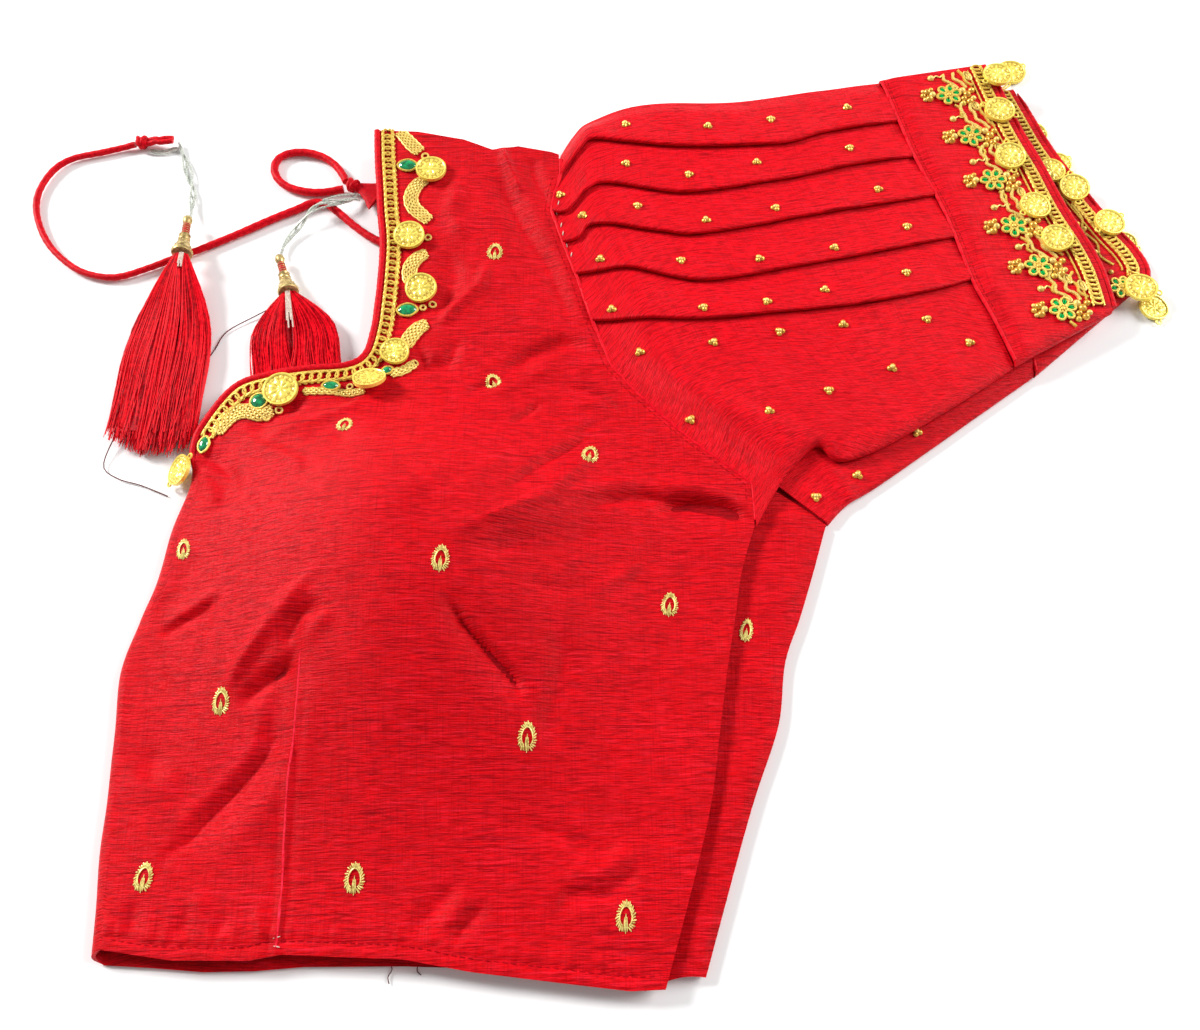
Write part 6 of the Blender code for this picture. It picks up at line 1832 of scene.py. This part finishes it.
def buti(pile, x, y, width, length, turned, look):
    """A woven drop motif: a serrated ring of satin stitches, an inner loop and a prong at its foot."""
    turn_by = math.radians(turned)
    foot = -math.pi / 2

    def spot(a, b, lift=0.12):
        return laid(look, x + a * math.cos(turn_by) - b * math.sin(turn_by),
                    y + a * math.sin(turn_by) + b * math.cos(turn_by), lift)

    def edge(angle, reach):
        b = math.sin(angle) * length / 2 * reach
        a = math.cos(angle) * width / 2 * reach * (1 - 0.16 * math.sin(angle))
        return a, b

    count = 26
    for k in range(count):
        angle = foot + 0.42 + (2 * math.pi - 0.84) * k / (count - 1)
        outer = 0.92 if k % 2 else 1.0
        stitch(pile, spot(*edge(angle - 0.10, 0.62)), spot(*edge(angle + 0.10, outer)), 0.62, 0.34)
    angles = [foot + 0.5 + (2 * math.pi - 1.0) * k / 14 for k in range(15)]
    tube(pile, [spot(*edge(angle, 0.60), 0.3) for angle in angles], 0.26, 5)
    for shift, low, high in ((-0.55, 0.44, -0.02), (0.0, 0.5, 0.08), (0.55, 0.44, -0.02)):
        stitch(pile, spot(shift, -length * low), spot(shift * 0.7, length * high), 0.5, 0.4)


def vine(pile, route, look, wire, slot=0):
    """A corded thread laid along a route."""
    path = [laid(look, x, y, 0.35) for x, y in evenly(route, 0.9)]
    tube(pile, path, corded(wire), 5, slot)


def leaf(pile, x, y, length, width, turned, look, slot):
    """A leaf of coiled thread: an outline with a raised rib."""
    way = (math.cos(math.radians(turned)), math.sin(math.radians(turned)))
    ring = []
    for a in circle(12):
        out = math.cos(a) * length / 2
        across = math.sin(a) * abs(math.sin(a)) ** 0.4 * width / 2
        ring.append(laid(look, x + out * way[0] - across * way[1], y + out * way[1] + across * way[0], 0.45))
    tube(pile, ring, corded(0.5, 0.2, 2.4), 5, slot, closed=True)
    foot, tip = [laid(look, *shifted((x, y), way, side * length * 0.34), 0.2) for side in (-1, 1)]
    stitch(pile, foot, tip, 1.0, 0.7, slot)


def band_work(look, flowers):
    """Gold and green embroidery of one band: a sprig repeated at each flower, no two quite the same."""
    def on_band(px, py):
        return look(px, py, 0)[0]

    pile = Pile()
    for k, (x, y) in enumerate(flowers):
        sway = 0.5 * math.sin(2.2 * k)
        flower(pile, x, y, 12.0, 0.3 + 0.4 * k, look)
        for dx, dy, size, slot in LEFT_CLUSTER + RIGHT_CLUSTER:
            if on_band(x + dx, y + dy):
                bead(pile, x + dx + 0.3 * sway, y + dy, size, look, slot, 0.2, 8, 0.6 * k + dx)
        dx, dy = STEM_BALL
        if on_band(x + dx, y + dy + 2):
            bead(pile, x + dx + sway, y + dy, 3.2, look, 3, 0.2, 8, k)
        for route, wire, slot in VINES:
            spots = [(x + dx + sway * (i % 2), y + dy) for i, (dx, dy) in enumerate(route)]
            spots = [(px, py) for px, py in spots if on_band(px, py + 1.5) and on_band(px, py)]
            if len(spots) > 1:
                vine(pile, spots, look, wire, slot)
        for dx, dy, length, width, turned in LEAVES:
            if on_band(x + dx, y + dy + 3) and on_band(x + dx, y + dy - 3):
                leaf(pile, x + dx, y + dy, length, width, turned + 8 * sway, look, 3)
    return pile


def stitched_line(pile, route, pitch, length, look, width, lift):
    """A row of stitches: one of a length at every pitch of the route."""
    path = evenly(route, pitch)
    for a, b in zip(path, path[1:]):
        end = mix(a, b, min(length / math.dist(a, b), 1.0))
        stitch(pile, laid(look, *a, lift), laid(look, *end, lift), width, 0.22)


# ---- everything together ---------------------------------------------------------------------------


def numbered(stem, count):
    """Names of a row of CAD nodes."""
    return [f"{stem}_{k + 1}" for k in range(count)]


def finishes():
    """Every finish of the blouse, by the short name that the pieces use."""
    return SimpleNamespace(
        body=slub_silk("red slub silk", RED, RED_DARK, RED_PALE, 0.04),
        sleeve=slub_silk("red slub silk sleeve", SLEEVE_RED, RED_DARK, RED_PALE, 0.04, 0.8),
        band=slub_silk("red slub silk band", SLEEVE_RED, RED_DARK, RED_PALE, 0.04, 0.9),
        # inner layers: the body red darkened as painted shade of the fold's inside
        inside=slub_silk("inner red cloth painted shade", SHADED_INSIDE_RED, RED_DARK, RED, 0.03),
        roll=thread_cloth("red rolled cloth", (0.70, 0.004, 0.012), (0.42, 0.0, 0.006), 0.5, 0.04,
                          700.0, 0.0002),
        silk=thread_cloth("red silk strands", (0.95, 0.008, 0.02), (0.66, 0.0, 0.01), 0.32, 0.08, 600.0),
        # deep red silk: darker strands, and painted shade for the tassels' inner body
        deep_silk=thread_cloth("deep red silk strands and painted shade", (0.62, 0.002, 0.01), (0.24, 0.0, 0.004), 0.4, 0.05,
                               600.0),
        core=thread_cloth("pale core threads", (0.70, 0.60, 0.50), (0.45, 0.30, 0.25), 0.5, 0.3),
        wrap=thread_cloth("red thread wrap", (0.55, 0.01, 0.02), (0.3, 0.0, 0.01), 0.45, 0.3),
        gold=metal("gold thread", GOLD, GOLD_DARK, 0.42, 0.35, 1500.0),
        pale_gold=metal("pale gold thread", (0.96, 0.72, 0.20), (0.52, 0.32, 0.05), 0.42, 0.3, 1500.0),
        bright_gold=metal("bright gold thread", (0.98, 0.82, 0.28), (0.45, 0.30, 0.05), 0.42, 0.25, 900.0),
        coin=metal("stamped gold", COIN_GOLD, (0.80, 0.58, 0.08), 0.28, 0.32, 700.0),
        # darker gold for the coins' hollows: painted shade
        coin_hollow_shade=metal("stamped gold hollows painted shade", (0.62, 0.42, 0.05), (0.34, 0.19, 0.02), 0.4, 0.3, 700.0),
        amber=metal("amber gold bead", (0.88, 0.50, 0.08), (0.48, 0.22, 0.02), 0.22, 0.45, 600.0),
        old_gold=metal("antique gold", OLD_GOLD, (0.22, 0.14, 0.04), 0.4, 0.6, 500.0),
        silver=metal("silver thread", SILVER, (0.22, 0.24, 0.20), 0.4, 0.25, 1500.0),
        green_glass=glassy("green stone", GREEN, (0.0, 0.09, 0.03)),
        green_silk=thread_cloth("green silk stitches", (0.0, 0.52, 0.11), (0.0, 0.30, 0.05), 0.35, 0.1),
        brown=thread_cloth("brown thread", (0.16, 0.035, 0.03), (0.06, 0.01, 0.01), 0.6, 0.1),
        stitch=thread_cloth("red sewing thread", (0.44, 0.0, 0.006), (0.26, 0.0, 0.004), 0.5, 0.05),
        # seam edge reds brighter than the cloth: painted highlight on the welts' ridges
        welt_highlight=thread_cloth("seam edge painted highlight", (0.93, 0.03, 0.07), (0.66, 0.006, 0.018), 0.45, 0.1,
                               700.0, 0.0002),
        welt=thread_cloth("red seam edge painted highlight", (0.86, 0.008, 0.02), (0.6, 0.0, 0.01), 0.48, 0.05, 500.0, 0.0002))


def cloth_pieces(kit):
    """Makes the cloth; gives the surfaces that the trims are laid on."""
    front = front_cloth(kit.body)
    back = back_cloth(kit.body)
    inner_cloth(kit.inside)
    right = sleeve("sleeve_right_cloth", SLEEVE_LINES, 70, SLEEVE_FLOOR, sleeve_level,
                   kit.sleeve, "sleeve_right")
    left = sleeve("sleeve_left_cloth", LEFT_SLEEVE_LINES, 46, LEFT_FLOOR, left_level,
                  kit.sleeve, "sleeve_left")
    underside = SLEEVE_FLOOR - SLEEVE_CLOTH / 2
    right_band = band("band_right_cloth", BAND_LINES, BAND_TOP, BAND_FALL, underside, 2.5,
                      kit.band, "band_right", 7.0, 1.3)
    left_band = band("band_left_cloth", LEFT_BAND_LINES, LEFT_BAND_TOP, 0.0, 0.0, 0.0,
                     kit.band, "band_left", 8.0, 0.3)
    bpy.context.view_layer.update()
    return SimpleNamespace(
        front=surface(front), back=surface(back), right=surface(right), left=surface(left),
        band=surface(right_band, BAND_TOP), left_band=surface(left_band, LEFT_BAND_TOP))


def braids(kit, on):
    """Rolled piping, chain braids and scrolls of the neck and the cuffs."""
    neck = neck_line(PIPING / 2, 1.2)
    path = [(x, y, front_height(x, y) - PIPING * 0.2) for x, y in neck]
    piping("neck_piping_roll", path, PIPING, kit.roll, "neck_piping")
    cuffs = (("right", BAND_LINES, BAND_TOP - BAND_FALL - 1.2, on.band),
             ("left", LEFT_BAND_LINES, LEFT_BAND_TOP - 1.3, on.left_band))
    for side, lines, z, _ in cuffs:
        path = [(x, y, z) for x, y in mouth_line(lines, -1.6, 1.2)]
        piping(f"cuff_piping_{side}", path, 2.6, kit.roll, f"piping_{side}")
    pile = Pile()
    inner_side = PIPING + 0.4 + BRAID_WIDTH
    chain(pile, neck_line(PIPING + 0.3 + BRAID_WIDTH / 2, 0.9, BRAID_START), BRAID_WIDTH, 3.7, on.front)
    neck_edge_loops(pile, neck_line(inner_side, 0.9, BRAID_START), on.front)
    pile.made("neck_chain", kit.gold, ["neck_braid"], "gold_thread")
    pile = Pile()
    for route in SCROLLS:
        scroll_stitches(pile, evenly([(x, y, width + 1.2) for x, y, width in route], 1.15), on.front)
    for x, y, radius in SCROLL_CURLS:
        curl = [laid(on.front, x + radius * math.cos(a), y + radius * math.sin(a), 0.6)
                for a in (k * math.pi / 6 for k in range(12))]
        tube(pile, curl, 0.5, 6, closed=True)
    pile.made("neck_scroll_braid", kit.pale_gold, ["neck_scroll"], "gold_thread")
    for side, lines, _, look in cuffs:
        pile = Pile()
        chain(pile, mouth_line(lines, 5.9, 0.8, 0.01), CUFF_BRAID_WIDTH, 2.5, look)
        thin = [laid(look, x, y, 0.4) for x, y in mouth_line(lines, 10.6, 0.9, 0.02, 0.96)]
        tube(pile, thin, corded(0.42, 0.25), 5)
        pile.made(f"cuff_chain_{side}", kit.gold, [f"braid_{side}"], "gold_thread")


def coin_rows(kit, on):
    """Coins of the neck and the cuffs, the wire that ties one of them, and the stones."""
    # the second finish darkens the coins' hollows as painted shade
    golds = [kit.coin, kit.coin_hollow_shade]
    coins(NECK_COINS, on.front, 2.0, golds, "neck_coins", numbered("coin_neck", 7), 6)
    coins(RIGHT_COINS, on.band, 1.9, golds, "right_cuff_coins", numbered("coin_right", 5))
    wires("coin_links", COIN_LINKS, 0.8, 0.4, 6, kit.coin, "coin_gold")
    coins(LEFT_COINS + BEHIND_COINS, on.left_band, 1.8, golds, "left_cuff_coins", numbered("coin_left", 5))
    stones(on.front, kit.green_glass, kit.gold)


def embroidery(kit, on):
    """Flowers and beads of the cuffs, beads of the sleeves and the motifs of the body."""
    threads = [kit.gold, kit.green_silk, kit.amber, kit.pale_gold]
    pile = band_work(on.band, FLOWERS)
    pile.made("right_cuff_embroidery", threads, numbered("flower_right", 6), "gold_thread")
    pile = Pile()
    flower(pile, *LEFT_FLOWER, 11.0, 0.2, on.left_band)
    for route in LEFT_CUFF_VINES:
        vine(pile, route, on.left_band, 0.62)
    for k, (x, y, size) in enumerate(LEFT_CUFF_BEADS):
        bead(pile, x, y, size, on.left_band, 2 if k % 2 else 3, 0.2, 8, k)
    pile.made("left_cuff_embroidery", threads, ["flower_left_1"], "gold_thread")
    pile = Pile()
    for spots, look in ((SLEEVE_BEADS, on.right), (LEFT_BEADS, on.left)):
        for k, (x, y) in enumerate(spots):
            bead_group(pile, x, y, look, k)
    # pale gold of the raised middle beads is painted highlight
    pile.made("sleeve_beads", [kit.amber, kit.pale_gold], (), "coin_gold", 30)
    pile = Pile()
    for motif in BUTIS:
        buti(pile, *motif, on.front)
    buti(pile, *BACK_BUTI, on.back)
    pile.made("woven_butis", kit.bright_gold, (), "gold_thread")


def armhole_line():
    """The line of the seam between the front and the right sleeve."""
    return evenly([row_point(k / 4, 5) for k in range(29, 88)], 1.6)


def seam_welts(kit, on):
    """Raised edges of the dart, the armhole and the bands' seams, in reds brighter than the cloth as painted
    highlight.
    """
    pile = Pile()
    dart = [laid(on.front, x, y, -0.25) for x, y in evenly(DART, 1.6)]
    edge = corded(0.46, 0.1, 0.9, 1)
    # the dart's edge takes slot 1, a paler pinker red: painted highlight on its ridge
    tube(pile, dart, lambda k, angle: edge(k, angle) * min(1, 0.2 * (len(dart) - k)), 6, 1)
    armhole = armhole_line()
    levels = [max(on.front(x - 1.6, y)[0], on.right(x + 1.8, y + 0.6, 0)[0]) for x, y in armhole]
    near = [levels[max(k - 3, 0):k + 4] for k in range(len(levels))]
    welt = [(x + 0.7, y + 0.3, sum(some) / len(some) - 0.9) for (x, y), some in zip(armhole, near)]
    tube(pile, welt, corded(0.85, 0.08, 1.3), 8)
    for lines, look in ((BAND_LINES, on.band), (LEFT_BAND_LINES, on.left_band)):
        seam = evenly([line[1:3] for line in lines], 1.6)[1:-1]
        welt = [(x + 0.3, y + 0.1, look(x + 1.5, y + 0.4, 0)[0]) for x, y in seam]
        tube(pile, welt, corded(0.7, 0.08, 1.3), 8)
    pile.made("seam_welts", [kit.welt, kit.welt_highlight], (), "red_cloth")


def small_stitches(kit, on):
    """Red rows of stitches, pale tack stitches and the thread ends under the hem."""
    pile = Pile()
    hem = [(x, y + HEM_GROOVE) for x, y in softened(HEM_EDGE)][2:-2]
    stitched_line(pile, hem, 3.0, 2.1, on.front, 0.6, 0.0)
    armhole = [(x - 2.4, y) for x, y in armhole_line()[6:-6]]
    stitched_line(pile, armhole, 3.0, 2.0, on.front, 0.4, -0.02)
    seam = [mix(line[1:3], line[3:5], 0.05) for line in BAND_LINES][:-1]
    stitched_line(pile, seam, 2.6, 1.9, on.band, 0.4, -0.02)
    seam = evenly([line[1] for line in LEFT_SLEEVE_LINES], 1.6)
    tube(pile, [(x, y, 1.3) for x, y in seam], 0.8, 8)
    pile.made("red_stitches", kit.stitch, (), "red_cloth")
    pile = Pile()
    for x, y, dx, dy in TACKS:
        z = max(on.front(x, y)[0], on.right(x, y, 0)[0]) + 0.1
        stitch(pile, (x, y, z), (x + dx, y + dy, z), 0.5, 0.3)
    pile.made("tack_stitches", kit.core, (), "silver_thread")
    wires("thread_ends", THREAD_ENDS, 1.0, 0.2, 5, kit.brown, "silver_thread")


def main():
    """The whole scene."""
    set_camera()
    set_lights()
    set_table()
    kit = finishes()
    ties(kit)
    on = cloth_pieces(kit)
    braids(kit, on)
    coin_rows(kit, on)
    embroidery(kit, on)
    seam_welts(kit, on)
    small_stitches(kit, on)


main()
